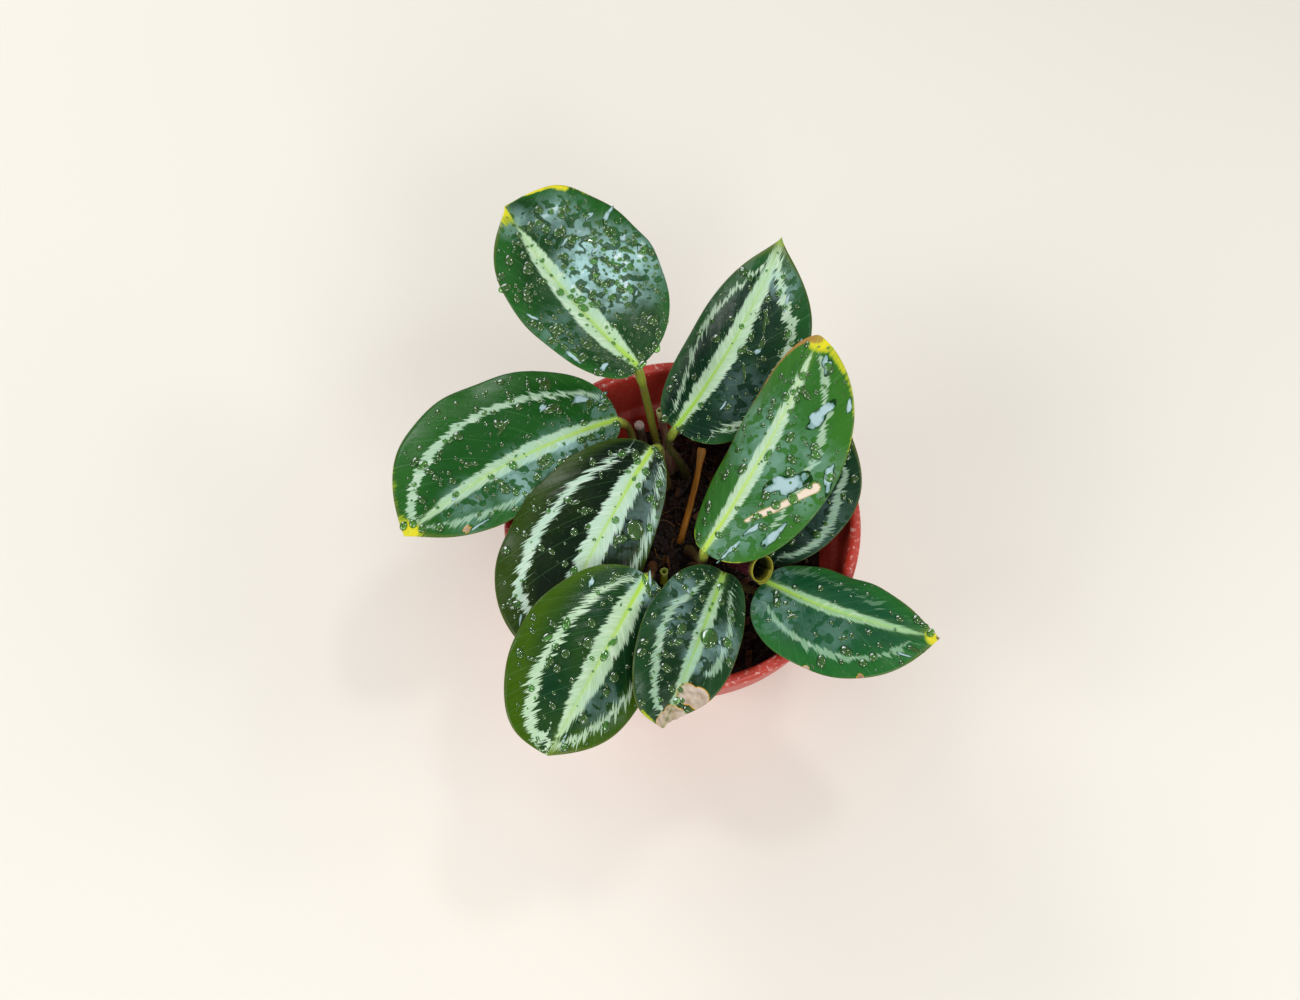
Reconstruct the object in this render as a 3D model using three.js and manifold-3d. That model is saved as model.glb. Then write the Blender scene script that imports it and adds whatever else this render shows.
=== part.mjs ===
// Potted medallion calathea: a moulded nursery pot filled with soil, nine patterned leaves on their stalks,
// one young leaf still rolled up, and the cut and dried remains of older leaves.
// Millimetres, +Z up. The origin is the centre of the pot's underside.

import * as THREE from 'three';
import { ParametricGeometry } from 'three/addons/geometries/ParametricGeometry.js';
import { mergeGeometries, mergeVertices } from 'three/addons/utils/BufferGeometryUtils.js';
import Module from 'manifold-3d';

const wasm = await Module();
wasm.setup();

const UP = new THREE.Vector3(0, 0, 1);
const RADIANS = Math.PI / 180;

// Clearance between touching pieces
const GAP = 0.3;

// Pot: a "five inch" nursery pot with a rolled lip and a wider collar above its tapered body
const POT_HEIGHT = 90;
const POT_SIDES = 56;
const LIP_RADIUS = 62.5;
const LIP_WIDTH = 4.1;
const LIP_HEIGHT = 4;
const COLLAR_RADIUS = 60.6;
const COLLAR_HEIGHT = 24;
const COLLAR_DRAFT = 1.4;
const COLLAR_STEP = 3;
const BASE_RADIUS = 40;
const BASE_BEVEL = 1.6;
const COLLAR_EASE = 0.6;
const WALL = 1.8;
const FLOOR = 2.2;
const DRAIN_COUNT = 8;
const DRAIN_RADIUS = 3.5;
const DRAIN_RING_RADIUS = 28;

// Soil: filled to about a third below the lip, with lumps and bark chips as relief
const SOIL_LEVEL = 55.5;
const SOIL_RINGS = 11;
const SOIL_SEED = 11;
const WALL_FADE = 5;
const LUMPS = { count: 60, long: [3, 7], wide: [3, 7], height: [-0.8, 1.2] };
const CHIPS = { count: 40, long: [5, 9], wide: [2.2, 2.6], height: [0.8, 1.9] };

// Leaf stalks: a sheathing foot, a slim stalk and a swollen joint under the blade
const FOOT_DEPTH = 9;
const HOLE_MARGIN = 0.7;
const HOLE_SIDES = 12;
const STALK_SIDES = 8;
const STALK_STEPS = 12;
const SHEATH_RADIUS = 2.2;
const SHEATH_HEIGHT = 22;
const STALK_RADIUS = 1.35;
const JOINT_RADIUS = 1.65;
const JOINT_LENGTH = 10;
const CURVE_STATIONS = 100;

// Blades: thin at the edge, with the midrib standing out below. Their grid lines crowd towards the midrib.
const BLADE_EDGE = 0.62;
const RIB_DEPTH = 0.9;
const RIB_WIDTH = 1.3;
const BLADE_STEPS = 18;
const BLADE_SPANS = 8;
const VEIN_ROOT_POWER = 2.4;
const VEIN_ARCH_POWER = 1.3;
const SPREAD_POWER = 1.3;
const MIDRIB_STEPS = 24;

// Each blade: where its stalk meets it, the heading and climb of its midrib there, how far the midrib turns
// to its left (sweep) and sinks (droop) on the way to the tip, the roll round the midrib (left side up), and its
// length. For either half: the width, how drawn out the point is (1 is round, less is blunt), and the half's
// rise at the midrib and at the edge. Angles in degrees.
const BLADES = [
  {
    name: 'leaf_1', colour: '#2c6a38', foot: [-5.5, 27.3], base: [-15, 39.4, 126],
    heading: 140, sweep: -20, climb: 14, droop: 6, roll: 0, length: 74,
    left: { width: 18.5, point: 2.55, rise: 10, edge: -24 },
    right: { width: 36, point: 0.45, rise: 8, edge: -14 },
    widest: 0.51, lobe: 0.04, wave: 0.9, waves: 3.2, phase: 0.4,
  },
  {
    name: 'leaf_2', colour: '#1c4a30', foot: [1.8, 31.2], base: [-2.7, 29.3, 100],
    heading: 50.5, sweep: 19.5, climb: 16, droop: 6, roll: 8, length: 81,
    left: { width: 19, point: 2.55, rise: -12, edge: -50 },
    right: { width: 26.5, point: 2.7, rise: 4, edge: -18 },
    widest: 0.44, lobe: 0.005, wave: 0.8, waves: 3, phase: 2.2,
  },
  {
    name: 'leaf_3', colour: '#3b7a3a', foot: [3, -0.7], base: [6.5, -16, 98],
    heading: 52, sweep: 13.5, climb: 26, droop: 3, roll: 0, length: 82.5,
    left: { width: 16.5, point: 1.2, rise: -14, edge: -58 },
    right: { width: 26.5, point: 1.35, rise: 6, edge: -10 },
    widest: 0.48, lobe: 0.01, wave: 1, waves: 3.4, phase: 1.2,
  },
  {
    name: 'leaf_4', colour: '#173d28', foot: [15, 1.3], base: [22.6, -11.1, 83],
    heading: 45, sweep: 3, climb: 28, droop: 14, roll: 0, length: 56,
    left: { width: 15.5, point: 2, rise: 4, edge: -16 },
    right: { width: 20, point: 2, rise: 4, edge: -14 },
    widest: 0.49, lobe: 0.02, wave: 0.6, waves: 3, phase: 0,
  },
  {
    name: 'leaf_5', colour: '#2f6b36', foot: [-12.5, 24.8], base: [-22.6, 33.1, 100],
    heading: -161, sweep: 24, climb: 3, droop: 9, roll: -4, length: 85.5,
    left: { width: 18, point: 2, rise: 4, edge: -18 },
    right: { width: 35, point: 1.7, rise: 6, edge: -16 },
    widest: 0.53, lobe: 0.025, wave: 1, waves: 3.4, phase: 2.6,
  },
  {
    name: 'leaf_6', colour: '#1a4226', foot: [-7.5, 19.8], base: [-10.4, 19.1, 106],
    heading: -121.5, sweep: 10.5, climb: -3, droop: 10, roll: 0, length: 82.5,
    left: { width: 19, point: 1.9, rise: -8, edge: -44 },
    right: { width: 31.5, point: 1.3, rise: 4, edge: -20 },
    widest: 0.55, lobe: 0.035, wave: 1, waves: 3.2, phase: 0.8,
  },
  {
    name: 'leaf_7', colour: '#1f5a2e', foot: [-10.3, -7.2], base: [-12.5, -26, 101],
    heading: -116.5, sweep: -2, climb: 4, droop: 10, roll: -4, length: 68,
    left: { width: 19.5, point: 1.85, rise: -9, edge: -34 },
    right: { width: 28.5, point: 0.65, rise: 16, edge: -8 },
    widest: 0.52, lobe: 0.02, wave: 0.9, waves: 3, phase: 1.7,
  },
  {
    name: 'leaf_8', colour: '#2a5a3c', foot: [3, -10.7], base: [13.8, -21.9, 93],
    heading: -108, sweep: -4.5, climb: 17, droop: 8, roll: 0, length: 62.5,
    left: { width: 14, point: 2.9, rise: 5, edge: -30 },
    right: { width: 20, point: 0.6, rise: 26, edge: -6 },
    widest: 0.48, lobe: 0.02, wave: 1, waves: 3, phase: 0.3,
  },
  {
    name: 'leaf_9', colour: '#2d6a3c', foot: [9, -10.7], base: [28, -23.4, 89],
    heading: -36, sweep: 24.5, climb: 20, droop: 17, roll: -2, length: 62.5,
    left: { width: 15, point: 2.25, rise: 4, edge: -22 },
    right: { width: 23, point: 1.85, rise: 8, edge: -14 },
    widest: 0.42, lobe: 0.005, wave: 0.8, waves: 3, phase: 2,
  },
];

// The other stems: the line they follow from the foot up, and their radius from foot to end as [share, radius].
// A bore is the radius of a hollow end and the share of the length where it starts.
const STEMS = [
  {
    name: 'rolled_leaf', colour: '#5a2436',
    path: [[10, -1.7, 46.5], [10, -1.7, 58], [14, -7.2, 72], [20.5, -15.2, 86], [27, -23, 98]],
    radii: [[0, 2.6], [0.3, 3], [0.6, 4.1], [1, 5]], bore: { radius: 4.3, from: 0.7 },
  },
  {
    name: 'maroon_stub', colour: '#7a4a44',
    path: [[-3.6, 33.3, 46.5], [-3.6, 33.3, 58], [-4.9, 36.2, 72], [-7.8, 40.8, 92]],
    radii: [[0, 2.1], [0.5, 1.5], [1, 1.5]], bore: { radius: 0.8, from: 0.92 },
  },
  {
    name: 'hollow_stub', colour: '#a9bf2c',
    path: [[-6.3, -11.7, 46.5], [-6.3, -11.7, 58], [-6.3, -11.5, 66]],
    radii: [[0, 1.5], [1, 1.5]], bore: { radius: 0.9, from: 0.6 },
  },
  {
    name: 'dried_petiole', colour: '#b87424',
    path: [[0, 4.3, 46.5], [0.2, 4.3, 57.5], [3.4, 14.3, 64.5], [6, 24.3, 69], [7.9, 34.3, 74]],
    radii: [[0, 1.6], [0.3, 1.3], [0.85, 1.2], [1, 1.8]], bore: null,
  },
  {
    name: 'dry_sheath', colour: '#8a5a34',
    path: [[-5.2, -6, 47.5], [-5.2, -6, 57], [-5.7, -5.6, 66]],
    radii: [[0, 1.7], [0.7, 1.4], [1, 0.6]], bore: null,
  },
  {
    name: 'cut_stalk', colour: '#e6e0d2',
    path: [[-14, 42.8, 46.5], [-14, 42.8, 57], [-15.6, 45.8, 71]],
    radii: [[0, 2], [1, 2]], bore: null,
  },
];

const POT_COLOUR = '#c8503f';
const SOIL_COLOUR = '#241a12';
const STALK_COLOUR = '#7a8f2e';
const LEAF_ROUGHNESS = 0.35;
const STEM_ROUGHNESS = 0.5;
const POT_ROUGHNESS = 0.4;
const SOIL_ROUGHNESS = 0.95;

// A repeatable stream of numbers from 0 to 1
function randomStream(seed) {
  let state = seed;
  return () => {
    state = (state * 16807) % 2147483647;
    return state / 2147483647;
  };
}

// Welds equal vertices and drops the triangles that collapse at a pole or a tip
function weld(geometry) {
  geometry.deleteAttribute('normal');
  geometry.deleteAttribute('uv');
  const welded = mergeVertices(geometry, 1e-4);
  const corners = welded.index.array;
  const kept = [];
  for (let i = 0; i < corners.length; i += 3) {
    const [a, b, c] = [corners[i], corners[i + 1], corners[i + 2]];
    if (a !== b && b !== c && c !== a) kept.push(a, b, c);
  }
  welded.setIndex(kept);
  welded.computeVertexNormals();
  return welded;
}

function reverse(geometry) {
  const corners = geometry.index.array;
  for (let i = 0; i < corners.length; i += 3) {
    [corners[i + 1], corners[i + 2]] = [corners[i + 2], corners[i + 1]];
  }
  return geometry;
}

function toSolid(geometry) {
  return new wasm.Manifold(new wasm.Mesh({
    numProp: 3,
    vertProperties: new Float32Array(geometry.attributes.position.array),
    triVerts: new Uint32Array(geometry.index.array),
  }));
}

function fromSolid(solid) {
  const mesh = solid.getMesh();
  const geometry = new THREE.BufferGeometry();
  geometry.setAttribute('position', new THREE.BufferAttribute(mesh.vertProperties, 3));
  geometry.setIndex(new THREE.BufferAttribute(mesh.triVerts, 1));
  geometry.computeVertexNormals();
  return geometry;
}

// A closed shell between two faces that share their edge lines, with the same diagonals on both faces
function shell(upper, lower, steps, spans) {
  const top = new ParametricGeometry(upper, steps, spans);
  const bottom = reverse(new ParametricGeometry(lower, steps, spans));
  const edges = [0, 1].map((side) => {
    const from = new THREE.Vector3();
    const to = new THREE.Vector3();
    const strip = new ParametricGeometry((u, v, target) => {
      upper(u, side, from);
      lower(u, side, to);
      target.lerpVectors(from, to, v);
    }, steps, 1);
    return side === 1 ? strip : reverse(strip);
  });
  return weld(mergeGeometries([top, bottom, ...edges]));
}

// A turned piece standing on Z, its profile given as [radius, height]
function turned(profile, sides) {
  const points = profile.map(([radius, height]) => new THREE.Vector2(radius, height));
  const geometry = new THREE.LatheGeometry(points, sides);
  geometry.rotateX(Math.PI / 2);
  return weld(geometry);
}

// A turned piece bent along a curve, its profile given as [radius, share of the length]
function bentTurning(profile, curve, sides) {
  const frames = curve.computeFrenetFrames(CURVE_STATIONS, false);
  const points = profile.map(([radius, share]) => new THREE.Vector2(radius, share));
  const geometry = new THREE.LatheGeometry(points, sides);
  const { position } = geometry.attributes;
  const vertex = new THREE.Vector3();
  for (let i = 0; i < position.count; i += 1) {
    vertex.fromBufferAttribute(position, i);
    const station = Math.round(vertex.y * CURVE_STATIONS);
    const place = curve.getPointAt(station / CURVE_STATIONS);
    place.addScaledVector(frames.normals[station], vertex.x);
    place.addScaledVector(frames.binormals[station], -vertex.z);
    position.setXYZ(i, place.x, place.y, place.z);
  }
  return weld(geometry);
}

function uprightCylinder(x, y, radius, bottom, top, sides) {
  const geometry = new THREE.CylinderGeometry(radius, radius, top - bottom, sides);
  geometry.rotateX(Math.PI / 2);
  geometry.translate(x, y, (top + bottom) / 2);
  return toSolid(weld(geometry));
}

// The pot

const collarFoot = POT_HEIGHT - COLLAR_HEIGHT;
const bodyTopRadius = COLLAR_RADIUS - COLLAR_DRAFT - COLLAR_STEP;
const innerStep = collarFoot - 1;

function innerRadius(height) {
  const share = (height - FLOOR) / (innerStep - FLOOR);
  return THREE.MathUtils.lerp(BASE_RADIUS - WALL, bodyTopRadius - WALL, share);
}

function potGeometry() {
  const lipFoot = POT_HEIGHT - LIP_HEIGHT;
  const collarInner = COLLAR_RADIUS - COLLAR_DRAFT - WALL;
  const profile = [
    [0, 0],
    [BASE_RADIUS - BASE_BEVEL, 0],
    [BASE_RADIUS, BASE_BEVEL],
    [bodyTopRadius, collarFoot - COLLAR_EASE],
    [COLLAR_RADIUS - COLLAR_DRAFT, collarFoot + COLLAR_EASE],
    [COLLAR_RADIUS, lipFoot - COLLAR_EASE],
    [LIP_RADIUS - COLLAR_EASE, lipFoot],
    [LIP_RADIUS, lipFoot + COLLAR_EASE],
    [LIP_RADIUS, POT_HEIGHT - 1.2],
    [LIP_RADIUS - 0.9, POT_HEIGHT - 0.2],
    [LIP_RADIUS - 2, POT_HEIGHT],
    [LIP_RADIUS - LIP_WIDTH + 0.9, POT_HEIGHT - 0.3],
    [LIP_RADIUS - LIP_WIDTH, POT_HEIGHT - 1.4],
    [collarInner, innerStep + 3.2],
    [collarInner - 0.5, innerStep + 2.2],
    [bodyTopRadius - WALL, innerStep],
    [innerRadius(FLOOR + BASE_BEVEL), FLOOR + BASE_BEVEL],
    [BASE_RADIUS - WALL - BASE_BEVEL, FLOOR],
    [0, FLOOR],
  ];
  let pot = toSolid(turned(profile, POT_SIDES));
  for (let i = 0; i < DRAIN_COUNT; i += 1) {
    const angle = 2 * Math.PI * (i + 0.5) / DRAIN_COUNT;
    const x = DRAIN_RING_RADIUS * Math.cos(angle);
    const y = DRAIN_RING_RADIUS * Math.sin(angle);
    pot = pot.subtract(uprightCylinder(x, y, DRAIN_RADIUS, -1, FLOOR + 1, HOLE_SIDES));
  }
  return fromSolid(pot);
}

// The soil: round lumps and long chips, drawn from one seeded stream, raise its surface

function soilBumps() {
  const random = randomStream(SOIL_SEED);
  const between = ([low, high]) => low + (high - low) * random();
  const reach = innerRadius(SOIL_LEVEL);
  const bumps = [];
  for (const kind of [LUMPS, CHIPS]) {
    for (let i = 0; i < kind.count; i += 1) {
      const distance = reach * Math.sqrt(random());
      const bearing = 2 * Math.PI * random();
      bumps.push({
        x: distance * Math.cos(bearing),
        y: distance * Math.sin(bearing),
        turn: Math.PI * random(),
        long: between(kind.long),
        wide: between(kind.wide),
        height: between(kind.height),
      });
    }
  }
  return bumps;
}

function soilGeometry() {
  const bottom = FLOOR + GAP;
  const top = innerRadius(SOIL_LEVEL) - GAP;
  const profile = [
    [0, bottom],
    [BASE_RADIUS - WALL - BASE_BEVEL - GAP, bottom],
    [innerRadius(bottom + BASE_BEVEL) - GAP, bottom + BASE_BEVEL],
  ];
  for (let i = 0; i < SOIL_RINGS; i += 1) {
    profile.push([top * (1 - i / SOIL_RINGS), SOIL_LEVEL]);
  }
  profile.push([0, SOIL_LEVEL]);
  const geometry = turned(profile, POT_SIDES);
  const bumps = soilBumps();
  const { position } = geometry.attributes;
  for (let i = 0; i < position.count; i += 1) {
    if (position.getZ(i) < SOIL_LEVEL - 1) continue;
    const x = position.getX(i);
    const y = position.getY(i);
    const wallFade = THREE.MathUtils.smoothstep(top - Math.hypot(x, y), 0, WALL_FADE);
    let relief = 0;
    for (const bump of bumps) {
      const along = (x - bump.x) * Math.cos(bump.turn) + (y - bump.y) * Math.sin(bump.turn);
      const across = (y - bump.y) * Math.cos(bump.turn) - (x - bump.x) * Math.sin(bump.turn);
      relief += bump.height * Math.exp(-((along / bump.long) ** 2) - (across / bump.wide) ** 2);
    }
    position.setZ(i, SOIL_LEVEL + wallFade * relief);
  }
  return geometry;
}

function pierce(geometry, feet) {
  let soil = toSolid(geometry);
  const bottom = SOIL_LEVEL - FOOT_DEPTH - GAP;
  const top = SOIL_LEVEL + FOOT_DEPTH;
  for (const [x, y, radius] of feet) {
    soil = soil.subtract(uprightCylinder(x, y, radius + HOLE_MARGIN, bottom, top, HOLE_SIDES));
  }
  return fromSolid(soil);
}

// The blades

// The edge point that the side vein with this share of the midrib reaches. The lobe keeps the first veins from
// running outside the straight line between the base and their edge points.
function edgeOf(blade, share, half) {
  const turn = Math.PI * share;
  const skew = Math.log(blade.widest) / Math.log(0.5);
  const lobe = share < 0.5 ? blade.lobe * Math.sin(2 * turn) * Math.cos(turn) : 0;
  const along = blade.length * (((1 - Math.cos(turn)) / 2) ** skew - lobe);
  const late = THREE.MathUtils.smoothstep(share, 0.5, 1);
  const across = half.width * Math.sin(turn) ** (1 + (half.point - 1) * late);
  return { along, across };
}

// A place on the blade's flat pattern: side veins leave the midrib and sweep forward to the edge
function patternPoint(blade, share, side) {
  const edge = edgeOf(blade, share, side < 0 ? blade.right : blade.left);
  const root = blade.length * share ** VEIN_ROOT_POWER;
  return {
    along: root + (edge.along - root) * Math.abs(side) ** VEIN_ARCH_POWER,
    across: edge.across * side,
  };
}

// The midrib's frame at a distance from the stalk
function midribFrame(blade, along) {
  const reach = along / blade.length;
  const point = new THREE.Vector3(...blade.base);
  const forwardAt = (share) => {
    const inside = Math.max(share, 0);
    const heading = (blade.heading + blade.sweep * inside) * RADIANS;
    const climb = (blade.climb - blade.droop * inside) * RADIANS;
    const flat = Math.cos(climb);
    return new THREE.Vector3(flat * Math.cos(heading), flat * Math.sin(heading), Math.sin(climb));
  };
  for (let i = 0; i < MIDRIB_STEPS; i += 1) {
    point.addScaledVector(forwardAt(reach * (i + 0.5) / MIDRIB_STEPS), along / MIDRIB_STEPS);
  }
  const forward = forwardAt(reach);
  const left = new THREE.Vector3().crossVectors(UP, forward).normalize();
  left.applyAxisAngle(forward, blade.roll * RADIANS);
  const normal = new THREE.Vector3().crossVectors(forward, left);
  return { point, forward, left, normal };
}

// The upper face over a place of the flat pattern: each half bends like an arc from midrib to edge
function facePoint(blade, along, across, target) {
  const half = across < 0 ? blade.right : blade.left;
  const reach = Math.abs(across);
  const rise = half.rise * RADIANS;
  const bend = (half.edge - half.rise) * RADIANS / half.width;
  const out = (Math.sin(rise + bend * reach) - Math.sin(rise)) / bend;
  const height = -(Math.cos(rise + bend * reach) - Math.cos(rise)) / bend;
  const turn = 2 * Math.PI * blade.waves * along / blade.length + blade.phase + Math.sign(across);
  const wave = blade.wave * (reach / half.width) ** 3 * Math.sin(turn);
  const frame = midribFrame(blade, along);
  target.copy(frame.point);
  target.addScaledVector(frame.left, Math.sign(across) * out);
  target.addScaledVector(frame.normal, height + wave);
  return target;
}

function faceNormal(blade, along, across) {
  const delta = 0.2;
  const at = (ahead, outward) => facePoint(blade, along + ahead, across + outward, new THREE.Vector3());
  const ahead = at(delta, 0).sub(at(-delta, 0));
  const outward = at(0, delta).sub(at(0, -delta));
  return ahead.cross(outward).normalize();
}

function bladeGeometry(blade) {
  const placeOf = (u, v) => {
    const spread = 2 * v - 1;
    return patternPoint(blade, u, Math.sign(spread) * Math.abs(spread) ** SPREAD_POWER);
  };
  const upper = (u, v, target) => {
    const { along, across } = placeOf(u, v);
    facePoint(blade, along, across, target);
  };
  const lower = (u, v, target) => {
    const { along, across } = placeOf(u, v);
    const fade = 1 - 0.8 * THREE.MathUtils.clamp(along / blade.length, 0, 1);
    const rib = RIB_DEPTH * fade * Math.exp(-((across / RIB_WIDTH) ** 2));
    facePoint(blade, along, across, target);
    target.addScaledVector(faceNormal(blade, along, across), -(BLADE_EDGE + rib));
  };
  return shell(upper, lower, BLADE_STEPS, BLADE_SPANS);
}

// The stalks and other stems

// A stalk rises upright from its foot in the soil and bends into the blade's base from below
function stalkCurve(blade) {
  const { point, forward, normal } = midribFrame(blade, 0);
  const arrival = forward.clone().multiplyScalar(0.45).addScaledVector(normal, 0.9).normalize();
  const end = point.clone().addScaledVector(normal, -(BLADE_EDGE + RIB_DEPTH + 1.5 * GAP));
  const joint = end.clone().addScaledVector(arrival, -JOINT_LENGTH);
  const [x, y] = blade.foot;
  const foot = new THREE.Vector3(x, y, SOIL_LEVEL - FOOT_DEPTH);
  const ground = new THREE.Vector3(x, y, SOIL_LEVEL + 4);
  const middle = ground.clone().lerp(joint, 0.5);
  return new THREE.CatmullRomCurve3([foot, ground, middle, joint, end], false, 'centripetal');
}

function stalkProfile(length) {
  const profile = [[0, 0]];
  for (let i = 0; i <= STALK_STEPS; i += 1) {
    const share = i / STALK_STEPS;
    const height = share * length;
    const sheath = (SHEATH_RADIUS - STALK_RADIUS) * Math.exp(-((height / SHEATH_HEIGHT) ** 2));
    const swell = THREE.MathUtils.smoothstep(height, length - JOINT_LENGTH, length - JOINT_LENGTH / 2);
    const taper = i === STALK_STEPS ? 0 : swell;
    profile.push([STALK_RADIUS + sheath + (JOINT_RADIUS - STALK_RADIUS) * taper, share]);
  }
  profile.push([0, 1]);
  return profile;
}

function radiusAt(radii, share) {
  const next = Math.max(1, radii.findIndex(([place]) => place >= share));
  const [from, low] = radii[next - 1];
  const [to, high] = radii[next];
  return THREE.MathUtils.mapLinear(share, from, to, low, high);
}

function stemProfile(stem) {
  const profile = [[0, 0]];
  for (let i = 0; i <= STALK_STEPS; i += 1) {
    profile.push([radiusAt(stem.radii, i / STALK_STEPS), i / STALK_STEPS]);
  }
  if (stem.bore) {
    profile.push([stem.bore.radius, 1]);
    profile.push([stem.bore.radius * 0.9, (1 + stem.bore.from) / 2]);
    profile.push([stem.bore.radius * 0.6, stem.bore.from]);
    profile.push([0, stem.bore.from]);
  } else {
    profile.push([0, 1]);
  }
  return profile;
}

// The assembly

const group = new THREE.Group();

function add(name, geometry, colour, roughness) {
  const finish = new THREE.MeshStandardMaterial({ color: colour, roughness, metalness: 0 });
  const mesh = new THREE.Mesh(geometry, finish);
  mesh.name = name;
  group.add(mesh);
}

const feet = [];

for (const blade of BLADES) {
  const curve = stalkCurve(blade);
  const stalk = bentTurning(stalkProfile(curve.getLength()), curve, STALK_SIDES);
  add(`${blade.name}_blade`, bladeGeometry(blade), blade.colour, LEAF_ROUGHNESS);
  add(`${blade.name}_petiole`, stalk, STALK_COLOUR, STEM_ROUGHNESS);
  feet.push([...blade.foot, SHEATH_RADIUS]);
}

for (const stem of STEMS) {
  const curve = new THREE.CatmullRomCurve3(stem.path.map((point) => new THREE.Vector3(...point)));
  add(stem.name, bentTurning(stemProfile(stem), curve, STALK_SIDES), stem.colour, STEM_ROUGHNESS);
  const [x, y] = stem.path[0];
  feet.push([x, y, stem.radii[0][1]]);
}

add('soil', pierce(soilGeometry(), feet), SOIL_COLOUR, SOIL_ROUGHNESS);
add('pot', potGeometry(), POT_COLOUR, POT_ROUGHNESS);

export default group;
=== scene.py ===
# %% [markdown]
# # A potted medallion calathea
#
# A small houseplant in a plastic nursery pot, seen from above. Nine patterned leaves hide most of the pot.
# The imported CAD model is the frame: it gives every piece its place and size, and this script gives it its
# looks. Lengths are written in millimetres, as a gardener measures a leaf, and turned to metres where a
# mesh is made.

# %% Load the frame
import math
from functools import partial

import bpy
import numpy as np
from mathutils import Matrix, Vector
from mathutils.bvhtree import BVHTree


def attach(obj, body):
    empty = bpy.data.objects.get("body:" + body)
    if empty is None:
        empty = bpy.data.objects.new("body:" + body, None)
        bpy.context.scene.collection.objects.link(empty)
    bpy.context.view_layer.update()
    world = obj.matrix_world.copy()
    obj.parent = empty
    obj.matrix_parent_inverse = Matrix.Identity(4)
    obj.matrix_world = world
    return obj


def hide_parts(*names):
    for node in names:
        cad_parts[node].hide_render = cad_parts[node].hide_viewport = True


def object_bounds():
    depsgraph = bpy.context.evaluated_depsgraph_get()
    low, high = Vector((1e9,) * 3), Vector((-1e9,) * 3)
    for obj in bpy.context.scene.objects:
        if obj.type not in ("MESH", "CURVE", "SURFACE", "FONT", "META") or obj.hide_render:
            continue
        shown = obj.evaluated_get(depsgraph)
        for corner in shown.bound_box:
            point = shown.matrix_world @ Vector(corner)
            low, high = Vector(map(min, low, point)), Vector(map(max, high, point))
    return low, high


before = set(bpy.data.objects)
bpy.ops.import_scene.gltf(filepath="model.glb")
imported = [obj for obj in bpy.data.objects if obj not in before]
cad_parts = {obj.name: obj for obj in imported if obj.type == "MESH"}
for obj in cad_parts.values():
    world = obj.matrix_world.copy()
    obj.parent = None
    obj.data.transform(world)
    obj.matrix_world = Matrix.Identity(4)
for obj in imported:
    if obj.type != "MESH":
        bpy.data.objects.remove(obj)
cad_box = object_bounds()
MM = 0.001
print("CAD nodes:", len(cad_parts), "box:", [round(side, 4) for corner in cad_box for side in corner])

# %% [markdown]
# ## Tools for nodes and colours
#
# Every material and every Geometry Nodes tree is a set of nodes with wires between them. Such a tree can be
# drawn by hand in the node editor, but a script can be read and changed as a whole, so one function adds a
# node. Colours are written as the hex values that a screen shows, and Blender works with linear light, so
# one function turns them.

# %% A colour, a wire and a node
def linear(code):
    """An sRGB hex colour as the linear colour that Blender's sockets take."""
    parts = [int(code[i : i + 2], 16) / 255 for i in (1, 3, 5)]
    return [p / 12.92 if p <= 0.04045 else ((p + 0.055) / 1.055) ** 2.4 for p in parts] + [1.0]


def wire(tree, value, socket):
    """Feeds a socket with a number, a hex colour, another socket, or the first working output of a node."""
    if isinstance(value, bpy.types.Node):
        value = next(output for output in value.outputs if output.enabled)
    if isinstance(value, bpy.types.NodeSocket):
        tree.links.new(value, socket)
    else:
        socket.default_value = linear(value) if str(value).startswith("#") else value


def add(tree, kind, *wires, **named):
    """Adds one node. The second word of its kind is its operation or its type of data. Wires feed its
    working inputs in their order. A name with a capital letter is an input too, other names are settings."""
    kind, _, mode = kind.partition(" ")
    made = tree.nodes.new(kind if "Node" in kind else "ShaderNode" + kind)
    if mode:
        setattr(made, "operation" if hasattr(made, "operation") else "data_type", mode)
    for name, value in named.items():
        if name[0].islower():
            setattr(made, name, value)
    working = [socket for socket in made.inputs if socket.enabled]
    for value, socket in zip(wires, working):
        wire(tree, value, socket)
    for name, value in named.items():
        if name[0].isupper():
            wire(tree, value, made.inputs[name.replace("_", " ")])
    return made


def new_material(name):
    """An empty material, and the function that adds a node to it."""
    made = bpy.data.materials.new(name)
    made.use_nodes = True
    return made, partial(add, made.node_tree)


def finish(material, **values):
    """Feeds the sockets of the material's shader with these values, and returns the material."""
    sockets = material.node_tree.nodes["Principled BSDF"].inputs
    for label, value in values.items():
        wire(material.node_tree, value, sockets[label.replace("_", " ")])
    return material


print("a mid grey in linear light:", round(linear("#808080")[0], 3))

# %% [markdown]
# ## Tools for meshes
#
# The shapes here follow rules. They could be sculpted, but a rule is exact and easy to change, so most
# meshes are made from numbers: rows of points, with faces between the rows. Each point can keep values of
# its own, and a material reads them to know where on the plant it is.

# %% Meshes from rows of points
def in_scene(name, data):
    """A new object in the scene that shows this mesh, lamp or camera."""
    made = bpy.data.objects.new(name, data)
    bpy.context.scene.collection.objects.link(made)
    return made


def mesh_object(name, points, faces, materials=(), smooth=True):
    """A mesh object from points in millimetres and faces as lists of point numbers."""
    mesh = bpy.data.meshes.new(name)
    mesh.from_pydata((np.asarray(points, float) * MM).tolist(), [], faces)
    mesh.validate()
    mesh.polygons.foreach_set("use_smooth", [smooth] * len(mesh.polygons))
    for material in materials:
        mesh.materials.append(material)
    return in_scene(name, mesh)


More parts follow.
